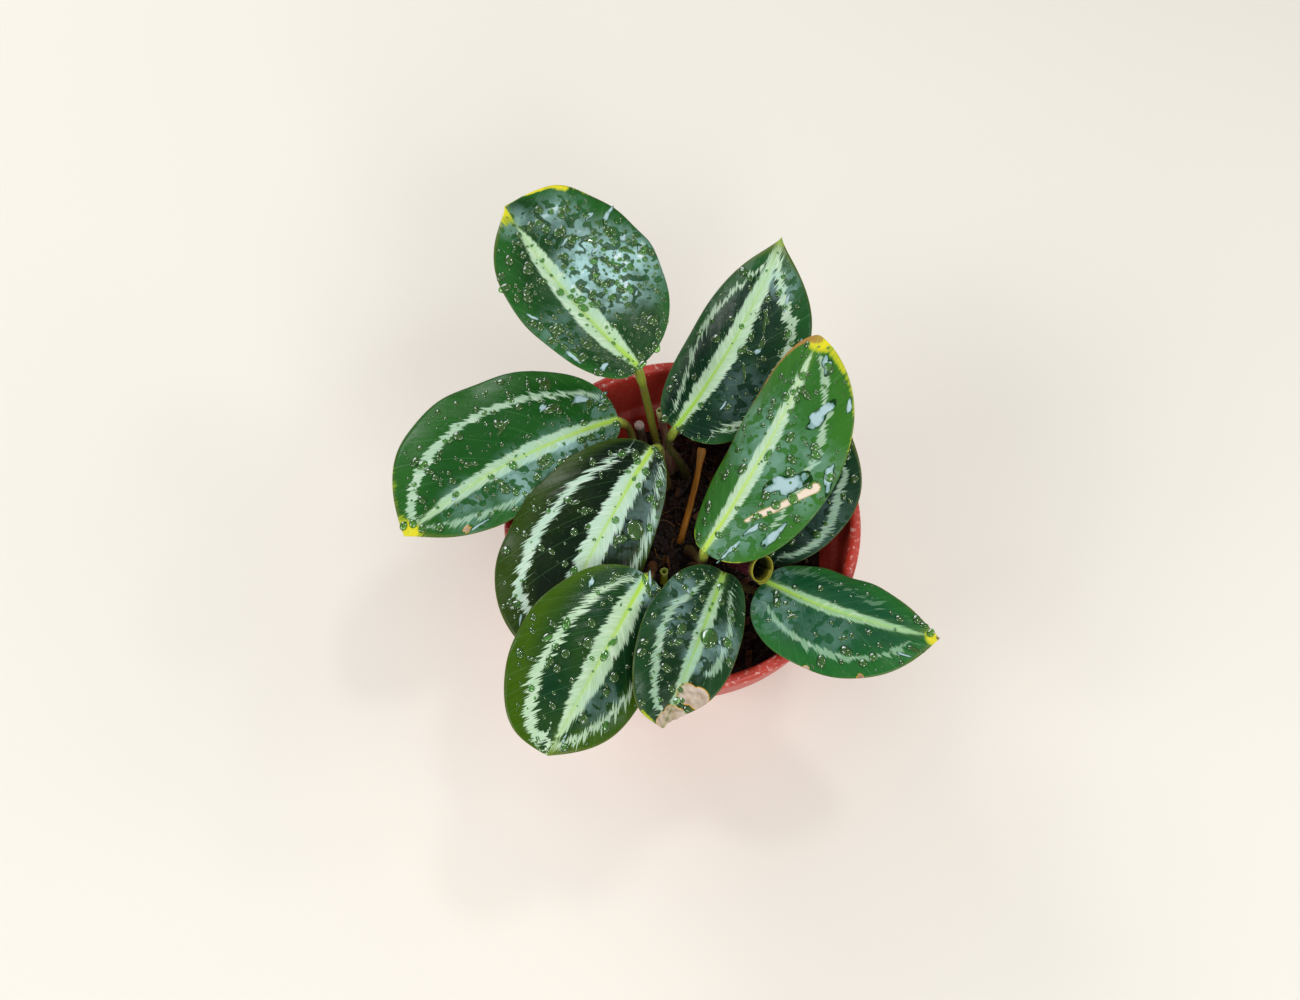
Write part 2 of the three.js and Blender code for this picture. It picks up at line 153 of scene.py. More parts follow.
def quads(rows, columns, first=0, closed=True, flip=False):
    """Four-cornered faces between neighbouring rows of points. A closed row runs on into its own start."""
    faces = []
    for start in range(first, first + (rows - 1) * columns, columns):
        for k in range(columns if closed else columns - 1):
            a, b = start + k, start + (k + 1) % columns
            faces.append((a, a + columns, b + columns, b) if flip else (a, b, b + columns, a + columns))
    return faces


def round_faces(rings, sides, flip=False):
    """Faces of a round solid: a first point, rings of points, and a last point."""
    end = rings * sides + 1
    faces = quads(rings, sides, first=1, flip=flip)
    pairs = [((k + 1) % sides, k) if flip else (k, (k + 1) % sides) for k in range(sides)]
    start = [(0, 1 + b, 1 + a) for a, b in pairs]
    return start + faces + [(end, end - sides + a, end - sides + b) for a, b in pairs]


# %% Values kept at the points of a mesh
def write_values(thing, name, values):
    """Keeps a number or a direction for each point of a mesh, under a name that a material can read."""
    values = np.asarray(values, np.float32)
    kind, field = ("FLOAT_VECTOR", "vector") if values.ndim == 2 else ("FLOAT", "value")
    layer = thing.data.attributes.new(name, kind, "POINT")
    layer.data.foreach_set(field, values.ravel())


def read_values(thing, name):
    """The number of each point of a mesh that was kept under this name."""
    values = np.zeros(len(thing.data.vertices), np.float32)
    thing.data.attributes[name].data.foreach_get("value", values)
    return values


def triangles(*things):
    """How many triangles the mesh objects have."""
    return sum(len(face.vertices) - 2 for thing in things for face in thing.data.polygons)


print("faces between two open rows of three points:", quads(2, 3, closed=False))

# %% [markdown]
# ## How a calathea blade is shaped
#
# A blade grows along its midrib. Side veins leave the midrib and arch towards the margin, and each half of
# the blade has its own width, so a blade is hardly ever even. Sculpting nine blades by hand would lose that
# order. Here one rule makes them all: a point on a blade is named by its side vein (share, from 0 at the
# base to 1 at the tip) and by how far along that vein it lies (side, from -1 at the right margin to 1 at
# the left one). The leaf's pattern is later painted in the same two numbers, so that it follows the veins
# as the real one does.

# %% The nine blades, in millimetres and degrees
# base: where the midrib starts, in mm. heading, climb, roll: its direction there, and sweep and droop how
# far that has turned at the tip, in degrees. left, right: for each half its greatest width in mm, how drawn
# out its end is, and how it rises at the midrib and at the margin, in degrees. widest: the share of the
# length where it is widest. lobe: how far the base runs back. wave, waves, phase: height in mm, count and
# start of the margin's waves.
BLADES = {
    1: dict(base=(-15, 39.4, 126), heading=140, sweep=-20, climb=14, droop=6, roll=0, length=74,
            left=(18.5, 2.55, 10, -24), right=(36, 0.45, 8, -14),
            widest=0.51, lobe=0.04, wave=0.9, waves=3.2,
            phase=0.4),
    2: dict(base=(-2.7, 29.3, 100), heading=50.5, sweep=19.5, climb=16, droop=6, roll=8, length=81,
            left=(19, 2.55, -12, -50), right=(26.5, 2.7, 4, -18), widest=0.44, lobe=0.005, wave=0.8, waves=3,
            phase=2.2),
    3: dict(base=(6.5, -16, 98), heading=52, sweep=13.5, climb=26, droop=3, roll=0, length=82.5,
            left=(16.5, 1.2, -14, -58), right=(26.5, 1.35, 6, -10),
            widest=0.48, lobe=0.01, wave=1, waves=3.4,
            phase=1.2),
    4: dict(base=(22.6, -11.1, 83), heading=45, sweep=3, climb=28, droop=14, roll=0, length=56,
            left=(15.5, 2, 4, -16), right=(20, 2, 4, -14),
            widest=0.49, lobe=0.02, wave=0.6, waves=3, phase=0),
    5: dict(base=(-22.6, 33.1, 100), heading=-161, sweep=24, climb=3, droop=9, roll=-4, length=85.5,
            left=(18, 2, 4, -18), right=(35, 1.7, 6, -16),
            widest=0.53, lobe=0.025, wave=1, waves=3.4, phase=2.6),
    6: dict(base=(-10.4, 19.1, 106), heading=-121.5, sweep=10.5, climb=-3, droop=10, roll=0, length=82.5,
            left=(19, 1.9, -8, -44), right=(31.5, 1.3, 4, -20), widest=0.55, lobe=0.035, wave=1, waves=3.2,
            phase=0.8),
    7: dict(base=(-12.5, -26, 101), heading=-116.5, sweep=-2, climb=4, droop=10, roll=-4, length=68,
            left=(19.5, 1.85, -9, -34), right=(28.5, 0.65, 16, -8),
            widest=0.52, lobe=0.02, wave=0.9, waves=3,
            phase=1.7),
    8: dict(base=(13.8, -21.9, 93), heading=-108, sweep=-4.5, climb=17, droop=8, roll=0, length=62.5,
            left=(14, 2.9, 5, -30), right=(20, 0.6, 26, -6),
            widest=0.48, lobe=0.02, wave=1, waves=3, phase=0.3),
    9: dict(base=(28, -23.4, 89), heading=-36, sweep=24.5, climb=20, droop=17, roll=-2, length=62.5,
            left=(15, 2.25, 4, -22), right=(23, 1.85, 8, -14), widest=0.42, lobe=0.005, wave=0.8, waves=3,
            phase=2),
}
# Powers that set where a side vein leaves the midrib, and how strongly it arches towards the tip.
VEIN_ROOT_POWER, VEIN_ARCH_POWER = 2.4, 1.3
UP = np.array([0.0, 0.0, 1.0])
print("blades:", len(BLADES))


# %% The outline and the side veins
def smooth_step(low, high, value):
    """0 below low, 1 above high, and an S-shaped rise between them."""
    share = np.clip((np.asarray(value, float) - low) / (high - low), 0, 1)
    return share * share * (3 - 2 * share)


def pattern_point(blade, share, side):
    """How far along and across the midrib the point lies that these two pattern numbers name."""
    share, side = np.broadcast_arrays(np.asarray(share, float), np.asarray(side, float))
    width = np.where(side > 0, blade["left"][0], blade["right"][0])
    drawn_out = np.where(side > 0, blade["left"][1], blade["right"][1])
    turn = np.pi * share
    skew = math.log(blade["widest"]) / math.log(0.5)
    lobe = np.where(share < 0.5, blade["lobe"] * np.sin(2 * turn) * np.cos(turn), 0)
    edge_along = blade["length"] * (((1 - np.cos(turn)) / 2) ** skew - lobe)
    edge_across = width * np.abs(np.sin(turn)) ** (1 + (drawn_out - 1) * smooth_step(0.5, 1, share))
    root = blade["length"] * share**VEIN_ROOT_POWER
    return root + (edge_along - root) * np.abs(side) ** VEIN_ARCH_POWER, edge_across * side


# %% The midrib and the surface
def turned_about(vectors, axes, angle):
    """The vectors, turned about unit axes by an angle in radians."""
    along = np.sum(axes * vectors, -1, keepdims=True) * axes
    turned = vectors * math.cos(angle) + np.cross(axes, vectors) * math.sin(angle)
    return turned + along * (1 - math.cos(angle))


def unit(vectors):
    """The same directions with length 1."""
    return vectors / np.linalg.norm(vectors, axis=-1, keepdims=True)


def along_path(where, stations, rows):
    """The rows of a path, which has one for each station, read at other places along it."""
    return np.stack([np.interp(where, stations, column) for column in rows.T], -1)


def midrib(blade):
    """The midrib's points and the three directions along it, at 260 stations from just before the base."""
    reach = np.linspace(-0.1, 1.05, 260)
    late = np.maximum(reach, 0)
    heading = np.radians(blade["heading"] + blade["sweep"] * late)
    climb = np.radians(blade["climb"] - blade["droop"] * late)
    level = np.cos(climb)
    forward = np.stack([level * np.cos(heading), level * np.sin(heading), np.sin(climb)], -1)
    steps = (forward[1:] + forward[:-1]) / 2 * np.diff(reach)[:, None] * blade["length"]
    path = np.vstack([np.zeros(3), np.cumsum(steps, 0)])
    path = path - along_path(0, reach, path) + np.array(blade["base"])
    left = turned_about(unit(np.cross(UP, forward)), forward, math.radians(blade["roll"]))
    return reach * blade["length"], path, left, np.cross(forward, left), forward


def on_blade(blade, along, across):
    """The point of the blade's upper side that lies this far along and across the midrib."""
    stations, path, left, normal, _ = blade.setdefault("midrib", midrib(blade))
    place, sideways, up = (along_path(along, stations, kept) for kept in (path, left, normal))
    is_left = across > 0
    width, rise, edge = (np.where(is_left, blade["left"][k], blade["right"][k]) for k in (0, 2, 3))
    rise, reach = np.radians(rise), np.abs(across)
    bend = (np.radians(edge) - rise) / width
    out = (np.sin(rise + bend * reach) - np.sin(rise)) / bend
    height = -(np.cos(rise + bend * reach) - np.cos(rise)) / bend
    swell = 2 * np.pi * blade["waves"] * along / blade["length"] + blade["phase"] + np.sign(across)
    height = height + blade["wave"] * (reach / width) ** 3 * np.sin(swell)
    return place + sideways * (np.sign(across) * out)[..., None] + up * height[..., None]


def facing(blade, along, across, step=0.2):
    """The direction that the blade's upper side faces there."""
    forward = on_blade(blade, along + step, across) - on_blade(blade, along - step, across)
    sideways = on_blade(blade, along, across + step) - on_blade(blade, along, across - step)
    return unit(np.cross(forward, sideways))


tip = on_blade(BLADES[1], np.array([BLADES[1]["length"]]), np.array([0.0]))[0]
print("tip of blade 1, in mm:", [round(value, 1) for value in tip])

# %% [markdown]
# ## What is painted on each blade
#
# The pale feathered band along the midrib, the pale ring, yellow and dry places, and a painted sheen on
# the film of water all have a place on the leaf. Each is written down in the pattern's two numbers, and
# turned here into a distance in millimetres or a strength at every point of the mesh. The material reads
# these values and draws the feathered edges itself, because a feather is much finer than a mesh can be. A
# picture wrapped round the leaf would be another way, but it would not follow the veins and could not be
# used at another size.

# %% The marks of the nine blades
# band: half its width in mm, and its share where it ends. feather: how far its edge frays, in mm. rings:
# lists of (share, side, half width in mm), then the ring's strength. yellow, rust: places on the margin as
# (share, side, length in mm, strength, width in mm). dry and painted sheen: patches as (share, side, radius
# in mm, strength); the painted sheen is a grey-blue veil painted where the wet wax would mirror the light.
# scar: a line of (share, side, half width in mm).
MARKS = {
    1: dict(band=(4.3, 0.87), feather=1.2, rings=[],
            yellow=[(0.97, 1, 6, 1.0, 1.8), (0.90, 1, 7, 0.6, 1.3), (0.97, -1, 5, 1.0, 1.8),
                    (0.93, -1, 6, 0.9, 1.4),
                    (0.88, -1, 3.4, 1.0, 2.4), (0.82, -1, 8, 0.5, 1.0)],
            painted_sheen=[(0.62, -0.5, 18, 1.7), (0.84, -0.6, 11, 0.75), (0.46, -0.7, 13, 0.9), (0.93, 0.5, 7, 0.5),
                  (0.5, 0.6, 9, 0.35)]),
    2: dict(band=(3.9, 0.99), feather=2.2,
            rings=[([(0.30, 0.3, 0.5), (0.42, 0.42, 0.8), (0.56, 0.70, 0.9), (0.64, 0.75, 0.9),
                     (0.75, 0.75, 0.7),
                     (0.90, 0.75, 0.5), (0.96, 0.4, 0.3)], 0.9),
                   ([(0.97, -0.6, 0.6), (0.92, -0.78, 1.1), (0.80, -0.70, 1.5), (0.73, -0.74, 1.8),
                     (0.65, -0.78, 1.7), (0.53, -0.75, 1.6), (0.37, -0.76, 1.1), (0.28, -0.58, 0.5)], 1.0)],
            yellow=[(0.99, 0, 3, 0.4, 1.2)], painted_sheen=[(0.5, -0.5, 11, 0.2), (0.8, -0.75, 7, 0.5)]),
    3: dict(band=(3.0, 0.93), feather=1.5,
            rings=[([(0.93, -0.6, 0.4), (0.90, -0.72, 0.8), (0.79, -0.72, 1.2), (0.68, -0.70, 1.2),
                     (0.53, -0.62, 0.9), (0.42, -0.6, 0.4)], 0.7)],
            yellow=[(0.99, 0, 4.4, 0.85, 2.2), (0.96, -0.9, 5, 0.9, 1.8), (0.86, -1, 10, 0.65, 1.0),
                    (0.74, -1, 10, 0.6, 0.8), (0.62, -1, 8, 0.5, 0.7), (0.1, 1, 6, 0.5, 1.6),
                    (0.12, -1, 6, 0.5, 1.6)],
            rust=[(0.5, 1, 12, 0.7, 0.5), (0.66, 1, 12, 0.8, 0.6), (0.82, 1, 10, 0.7, 0.5),
                  (0.94, 1, 5, 0.7, 0.6)],
            scar=[(0.46, -0.26, 0.3), (0.49, -0.42, 1.0), (0.51, -0.60, 0.9), (0.53, -0.80, 1.4)],
            painted_sheen=[(0.62, -0.5, 16, 0.4), (0.7, 0.4, 15, 0.4), (0.42, -0.3, 9, 0.35), (0.3, -0.2, 8, 0.35)]),
    4: dict(band=(3.0, 0.95), feather=1.6,
            rings=[([(0.88, -0.5, 0.4), (0.78, -0.78, 0.9), (0.67, -0.72, 1.4), (0.51, -0.80, 1.4),
                     (0.37, -0.78, 0.9), (0.3, -0.6, 0.4)], 0.9)],
            painted_sheen=[(0.6, -0.6, 12, 0.15)]),
    5: dict(band=(3.3, 0.95), feather=1.7,
            rings=[([(0.14, -0.45, 0.3), (0.23, -0.50, 0.7), (0.37, -0.50, 1.0), (0.53, -0.60, 1.3),
                     (0.68, -0.70, 1.6), (0.80, -0.80, 1.7), (0.90, -0.78, 1.3), (0.95, -0.55, 0.5)], 1.0),
                   ([(0.42, 0.70, 0.3), (0.53, 0.73, 0.6), (0.70, 0.78, 0.9), (0.87, 0.85, 0.7),
                     (0.94, 0.6, 0.4)], 0.7)],
            yellow=[(0.99, 0, 4.5, 1.0, 2.4), (0.94, 1, 7, 0.6, 1.0), (0.94, -1, 7, 0.6, 1.0),
                    (0.8, -1, 12, 0.35, 0.9)],
            dry=[(0.71, 0.93, 1.3, 0.9)],
            painted_sheen=[(0.42, 0.55, 15, 0.9), (0.6, 0.5, 13, 0.7), (0.78, 0.6, 10, 0.4), (0.3, 0.3, 9, 0.5),
                  (0.2, -0.3, 7, 0.4)]),
    6: dict(band=(4.7, 0.97), feather=2.7,
            rings=[([(0.26, -0.3, 0.4), (0.36, -0.40, 0.9), (0.47, -0.55, 1.5), (0.57, -0.65, 1.7),
                     (0.67, -0.75, 1.8), (0.75, -0.80, 1.6), (0.83, -0.75, 1.2), (0.9, -0.5, 0.6)], 1.0),
                   ([(0.2, 0.5, 0.3), (0.33, 0.62, 0.8), (0.43, 0.80, 1.0), (0.51, 0.80, 1.0),
                     (0.62, 0.8, 0.8),
                     (0.8, 0.8, 0.7)], 0.9)],
            rust=[(0.3, -1, 10, 0.4, 0.5)], painted_sheen=[(0.45, 0.5, 11, 0.3), (0.3, 0.5, 8, 0.3),
                                                  (0.62, 0.3, 8, 0.15)]),
    7: dict(band=(4.7, 0.92), feather=2.7,
            rings=[([(0.26, -0.2, 0.4), (0.34, -0.32, 1.0), (0.57, -0.55, 1.5), (0.73, -0.70, 1.8),
                     (0.83, -0.74, 1.8), (0.93, -0.7, 1.4), (0.975, -0.3, 0.9)], 1.0),
                   ([(0.42, 0.62, 0.4), (0.58, 0.75, 1.0), (0.77, 0.80, 1.1), (0.89, 0.86, 1.0),
                     (0.96, 0.6, 0.8)], 0.9)],
            yellow=[(0.97, 0, 4, 0.3, 1.2)], painted_sheen=[(0.22, 0.2, 8, 0.8), (0.75, 0.55, 9, 0.3)]),
    8: dict(band=(2.5, 0.95), feather=1.7,
            rings=[([(0.36, -0.3, 0.4), (0.45, -0.42, 0.8), (0.52, -0.62, 1.2), (0.65, -0.68, 1.3),
                     (0.78, -0.68, 1.3), (0.9, -0.62, 0.9), (0.97, -0.4, 0.6)], 0.9),
                   ([(0.34, 0.35, 0.3), (0.43, 0.45, 0.7), (0.53, 0.65, 1.0), (0.64, 0.70, 0.9),
                     (0.70, 0.66, 0.5)], 0.8)],
            yellow=[(0.95, -0.9, 3.4, 0.6, 0.8)],
            dry=[(0.74, 0.88, 3.8, 1.0), (0.80, 0.7, 3.6, 1.0), (0.83, 1.0, 3.8, 1.0),
                 (0.90, 0.95, 3.4, 1.0),
                 (0.89, 0.75, 2.6, 1.0), (0.95, 0.7, 3.0, 1.0), (0.975, 0.2, 2.2, 1.0),
                 (0.985, -0.5, 1.6, 1.0)],
            painted_sheen=[(0.6, 0.45, 8, 0.5), (0.6, -0.4, 10, 0.4), (0.75, 0.3, 6, 0.6), (0.4, -0.6, 6, 0.4)]),
    9: dict(band=(2.1, 0.93), feather=1.2,
            rings=[([(0.32, -0.4, 0.3), (0.43, -0.55, 0.8), (0.52, -0.65, 1.1), (0.61, -0.72, 1.1),
                     (0.76, -0.78, 0.8), (0.86, -0.7, 0.4)], 0.7),
                   ([(0.3, 0.5, 0.3), (0.38, 0.65, 0.5), (0.52, 0.66, 0.6), (0.65, 0.62, 0.5),
                     (0.75, 0.6, 0.3)], 0.3)],
            yellow=[(0.99, 0, 4, 1.0, 1.8), (0.94, -1, 4, 0.4, 0.8)],
            dry=[(1.0, 0, 1.4, 1.0), (0.50, -1, 1.3, 0.9), (0.65, -0.99, 1.1, 0.9)],
            painted_sheen=[(0.40, -0.35, 10, 0.45), (0.28, 0.35, 5, 0.3), (0.65, -0.4, 9, 0.2)]),
}
for marks in MARKS.values():
    for kind in ("yellow", "rust", "scar", "dry", "painted_sheen"):
        marks.setdefault(kind, [])
print("rings painted:", sum(len(marks["rings"]) for marks in MARKS.values()))


# %% Marks turned into values at each point
def smooth_line(rows, steps=14):
    """A centripetal Catmull-Rom line through the rows, which may hold any numbers."""
    rows = np.array(rows, float)
    rows = np.vstack([2 * rows[0] - rows[1], rows, 2 * rows[-1] - rows[-2]])
    t = np.linspace(0, 1, steps, endpoint=False)[:, None]
    parts = []
    for a, b, c, d in zip(rows, rows[1:], rows[2:], rows[3:]):
        gaps = [max(math.sqrt(np.linalg.norm(q - p)), 1e-6) for p, q in ((a, b), (b, c), (c, d))]
        before, here, after = gaps
        leave = here * ((b - a) / before - (c - a) / (before + here) + (c - b) / here)
        arrive = here * ((c - b) / here - (d - b) / (here + after) + (d - c) / after)
        square = 3 * (c - b) - 2 * leave - arrive
        parts.append(b + leave * t + square * t**2 + (2 * (b - c) + leave + arrive) * t**3)
    return np.vstack(parts + [rows[-2:-1]])


def ring_values(blade, rings, along, across):
    """The signed distance in mm from the nearest ring's middle, and its half width and strength there."""
    nearest, signed = np.full(along.shape, 99.0), np.full(along.shape, 99.0)
    half_width, strength = np.zeros(along.shape), np.zeros(along.shape)
    for rows, power in rings:
        line = smooth_line(rows)
        line_along, line_across = pattern_point(blade, line[:, 0], line[:, 1])
        for x, y, half in zip(line_along, line_across, line[:, 2]):
            away = np.hypot(along - x, across - y)
            nearer = away < nearest
            nearest[nearer], half_width[nearer], strength[nearer] = away[nearer], half, power
            signed[nearer] = (away * np.where(np.abs(across) > abs(y), 1, -1))[nearer]
    return signed, half_width, strength


def spot_values(blade, spots, along, across):
    """A strength from 0 to 1 that fades away from each spot."""
    value = np.zeros(along.shape)
    for share, side, radius, strength in spots:
        x, y = pattern_point(blade, share, side)
        away = np.hypot(along - x, across - y) / radius
        value = np.maximum(value, strength * (1 - smooth_step(0.45, 1.25, away)))
    return value


def margin_values(blade, spots, along, across, from_edge):
    """As spot_values, for marks that cling to the margin and reach only their own width into the leaf."""
    value = np.zeros(along.shape)
    for share, side, length, strength, width in spots:
        near = spot_values(blade, [(share, side, length, strength)], along, across)
        value = np.maximum(value, near * (1 - smooth_step(0.35 * width, width * 1.2, from_edge)))
    return value


def band_half_width(blade, widest, end, along):
    """Half the width of the pale band: narrow at the base, widest a third of the way up, gone at its end."""
    share = np.clip(along / blade["length"] / end, 0, 1.1)
    return widest * np.interp(share, [0, 0.06, 0.2, 0.38, 0.6, 0.8, 0.93, 1, 1.1],
                              [0.12, 0.4, 0.85, 1, 0.86, 0.6, 0.3, 0, -0.9])


# %% [markdown]
# ## The finishes of a blade
#
# A calathea leaf is a thin, waxy, wet skin: dark green cells with a slight blue cast, feathered pale places
# without chlorophyll, and a lime midrib. Its underside is maroon. A photograph wrapped round the blade
# would carry its own light with it, so the upper side is built from nodes, in coats laid over each other:
# the greens, the pale places with edges frayed along the side veins, a painted sheen with painted glints
# where the wet wax would mirror the light, and the marks of age. Roughness and bump then give wax, veins
# and the finest mist.

# %% The palettes of the nine upper sides
# field is the dark green between the pale places, margin the green outside the ring, pale the band and ring.
PALETTES = {
    1: dict(field="#163f18", margin="#225c20", pale="#bad8b8", rib="#a2cc48"),
    2: dict(field="#082c1c", margin="#1e5424", pale="#bad8ba", rib="#9ccb40"),
    3: dict(field="#2f6a26", margin="#356f22", pale="#bcd8bc", rib="#b4d850"),
    4: dict(field="#0c281a", margin="#183e26", pale="#9cc0a6", rib="#8cb850"),
    5: dict(field="#164f18", margin="#265f20", pale="#aacaae", rib="#a6cf4c"),
    6: dict(field="#041b08", margin="#2c440a", pale="#bedac8", rib="#a9d24a"),
    7: dict(field="#08361a", margin="#385a04", pale="#bad8b6", rib="#aad440"),
    8: dict(field="#0d3015", margin="#1c4422", pale="#a0c2a6", rib="#98c455"),
    9: dict(field="#144e2e", margin="#226428", pale="#94be9a", rib="#a0cc50"),
}
# What each point of a blade keeps for its material, and how many side veins a half has.
VALUES = ("share", "side", "rib", "band", "ring", "ring_half", "ring_strength", "yellow", "rust", "dry",
          "scar", "painted_sheen", "edge")
SIDE_VEINS = 15
print("upper sides:", len(PALETTES), "- values for each point:", len(VALUES))


# %% Leaf skin: waxy living tissue, grown
# How often the three streak patterns change along the leaf and out along a vein: broad, fine and hair-fine.
STREAKS = [(48, 1.8), (140, 2.6), (380, 3.2)]


def leaf_skin(name, palette, seed, feather):
    """The waxy upper side of one blade. Streaks along the veins give the feathered edges of its pattern."""
    skin, put = new_material(name)
    read = {key: put("Attribute", attribute_name=key).outputs["Fac"] for key in VALUES}
    streaks = []
    for offset, (along_leaf, along_vein) in enumerate(STREAKS):
        place = put("CombineXYZ", put("Math MULTIPLY", read["share"], along_leaf),
                    put("Math MULTIPLY", read["side"], along_vein), seed * 3.0 + offset)
        streaks.append(put("Math SUBTRACT", put("TexNoise", place, 1.0, 2.0, 0.55), 0.5))
    broad, fine, hair = streaks

    # The frayed edges: where the streaks run, the pale places reach further out.
    band = read["band"]
    for streak, reach in ((broad, 1.5), (fine, 1.1), (hair, 0.5)):
        band = put("Math MULTIPLY_ADD", streak, reach * feather, band)
    band = put("MapRange", band, 0.4, -0.35)
    ring = put("Math MULTIPLY_ADD", broad, 2.4 * feather, read["ring"])
    ring = put("Math SUBTRACT", put("Math ABSOLUTE", ring), read["ring_half"])
    for streak, reach in ((fine, 2.6), (hair, 0.8)):
        ring = put("Math MULTIPLY_ADD", streak, reach * feather, ring)
    gaps = put("Math MULTIPLY", put("Math SUBTRACT", 1.0, read["ring_strength"]), broad)
    ring = put("Math MULTIPLY_ADD", gaps, 16.0, ring)
    ring = put("MapRange", ring, 0.3, -0.3, 0.0, read["ring_strength"])

    # The greens: a dark field, a lighter margin, soft clouds, thin pale side veins and darker streaks.
    where = put("TexCoord").outputs["Object"]
    cloud = put("TexNoise", where, 70.0, 3.0)
    veins = put("Math MULTIPLY", read["share"], SIDE_VEINS * 2 * math.pi)
    veins = put("Math SINE", put("Math MULTIPLY_ADD", fine, 0.5, veins))
    lined = put("MapRange", veins, 0.975, 1.0, 0.0, 0.1)
    green = palette["field"]
    for strength, coat in (
            (put("MapRange", put("Math ABSOLUTE", read["side"]), 0.6, 0.86), palette["margin"]),
            (put("MapRange", cloud, 0.42, 0.75, 0.0, 0.35), palette["margin"]),
            (lined, "#74b274"),
            (put("MapRange", fine, 0.02, -0.2, 0.0, 0.2), "#041206")):
        green = put("Mix RGBA", strength, green, coat)
    pale = palette["pale"]
    for strength, coat in ((put("MapRange", hair, -0.08, 0.16, 0.0, 0.5), "#82ae7c"),
                           (put("MapRange", broad, 0.0, 0.15, 0.0, 0.35), "#e2eede")):
        pale = put("Mix RGBA", strength, pale, coat)

    # The film of water: a grey-blue veil of painted sheen where the wet wax would mirror the light, painted
    # bright flecks as glints, and dark clear gaps in the sheen where a bead lies.
    patches = put("TexNoise", where, 120.0, 5.0, 0.62)
    beads = put("TexNoise", where, 330.0, 1.0, 0.4)
    film = put("MapRange", beads, 0.545, 0.57, 1.0, 0.1)
    sheen_veil = put("Math MULTIPLY", put("MapRange", patches, 0.36, 0.62, 0.3), read["painted_sheen"])
    sheen_veil = put("Math MULTIPLY", sheen_veil, film)
    sheen_strength = put("Math MULTIPLY", sheen_veil, 0.8)
    # Painted glints: small bright flecks where the painted sheen is strongest.
    painted_glints = put("MapRange", patches, 0.61, 0.64, 0.0, put("MapRange", sheen_veil, 0.45, 1.0))

    # Age and damage: a brown line round the margin, yellow and rust, a healed scratch, and dead tissue.
    rim = put("MapRange", read["edge"], 0.45, 0.05, 0.0, 0.55)
    aged = put("Math MULTIPLY_ADD", fine, 0.9, read["yellow"])
    rusty = put("Math MULTIPLY_ADD", fine, 0.9, read["rust"])
    torn = put("Math MULTIPLY_ADD", hair, 1.2, read["scar"])
    torn = put("Math MULTIPLY_ADD", fine, 0.9, torn)
    dying = put("Math SUBTRACT", read["dry"], put("Math MULTIPLY", cloud, 0.8))
    dead = put("MapRange", dying, -0.04, 0.06)
    straw = put("Mix RGBA", put("MapRange", patches, 0.36, 0.68), "#cbbcab", "#8a673f")

    # All coats in their order, from the living green, through the painted sheen and painted glints, to the
    # lime midrib on top.
    colour = green
    for strength, coat in (
            (ring, pale), (band, pale), (sheen_strength, "#a2cccb"), (painted_glints, "#d6e8ea"), (rim, "#6f7a30"),
            (put("MapRange", aged, 0.28, 0.5, 0.0, 0.8), "#86a628"),
            (put("MapRange", aged, 0.4, 0.9), "#e0d52a"),
            (put("MapRange", rusty, 0.28, 0.6), "#a8803e"),
            (put("MapRange", torn, 0.5, 0.3, 0.0, 0.5), "#b8a444"),
            (put("MapRange", torn, 0.25, -0.15), "#ead8c6"),
            (put("MapRange", dying, -0.12, -0.07), "#cf9a1c"),
            (dead, straw), (read["rib"], palette["rib"])):
        colour = put("Mix RGBA", strength, colour, coat)

    # Gloss and relief: wax is satin, the film is matt, a drop is smooth, and dead tissue has no shine.
    rough = put("Math MULTIPLY_ADD", dead, 0.35, put("MapRange", patches, 0.4, 0.6, 0.22, 0.36))
    relief = put("Math MULTIPLY", cloud, 0.4)
    for layer, depth in ((lined, 0.12), (fine, 0.05), (film, -0.05)):
        relief = put("Math MULTIPLY_ADD", layer, depth, relief)
    bump = put("Bump", Height=relief, Strength=0.9, Distance=1.0 * MM)
    return finish(skin, Base_Color=colour, Roughness=rough, Normal=bump, IOR=1.31)


# %% Leaf underside: maroon living tissue, matt
def leaf_underside():
    """The maroon underside. Its pigment hides the pattern, and its matt face keeps it quiet in the shade."""
    skin, put = new_material("leaf underside, maroon and matt")
    share, side = (put("Attribute", attribute_name=key).outputs["Fac"] for key in ("share", "side"))
    place = put("CombineXYZ", put("Math MULTIPLY", share, 60.0), put("Math MULTIPLY", side, 3.0))
    veins = put("TexNoise", place, 1.0, 3.0)
    colour = put("Mix RGBA", put("MapRange", veins, 0.35, 0.7), "#3d1326", "#7a3450")
    bump = put("Bump", Height=veins, Strength=0.5, Distance=0.5 * MM)
    return finish(skin, Base_Color=colour, Normal=bump, Roughness=0.55, IOR=1.45)


underside = leaf_underside()
skins = {number: leaf_skin(f"leaf {number} skin, waxy and wet", PALETTES[number], number,
                           MARKS[number]["feather"]) for number in BLADES}
print("leaf skins:", len(skins))

# %% [markdown]
# ## The blades
#
# A blade is a sheet about 0.4 mm thick. It could be a flat sheet with a Solidify modifier, but the midrib
# is a groove above and a rib below, so both faces are built and sewn together along the margin. The grid
# follows the side veins, and a low pleat between two veins gives the quilted look.

# %% Build the nine blades
ROWS, SPANS = 150, 34
SHEET_EDGE, SHEET_RIB = 0.34, 0.8
# The skin lies this far inside the CAD model's top, and these small heights, all in mm, are added to it.
SINK, PLEAT, FOLD, GROOVE, GROOVE_WIDTH = 0.2, 0.04, 0.16, 0.28, 0.75
# The outline stays a little inside the CAD model's, whose chords cut its curve short.
MARGIN_INSET, TIP_INSET = 0.997, 0.999


def folds_and_groove(blade, number, along, across):
    """Two small heights that a blade and the water on it share: long soft folds, and the midrib's groove."""
    fold = FOLD * np.sin(0.23 * along + 1.3 * number) * np.sin(0.31 * across + number)
    fading = np.clip(1.1 - along / blade["length"], 0, 1)
    return fold, -GROOVE * np.exp(-((across / GROOVE_WIDTH) ** 2)) * fading


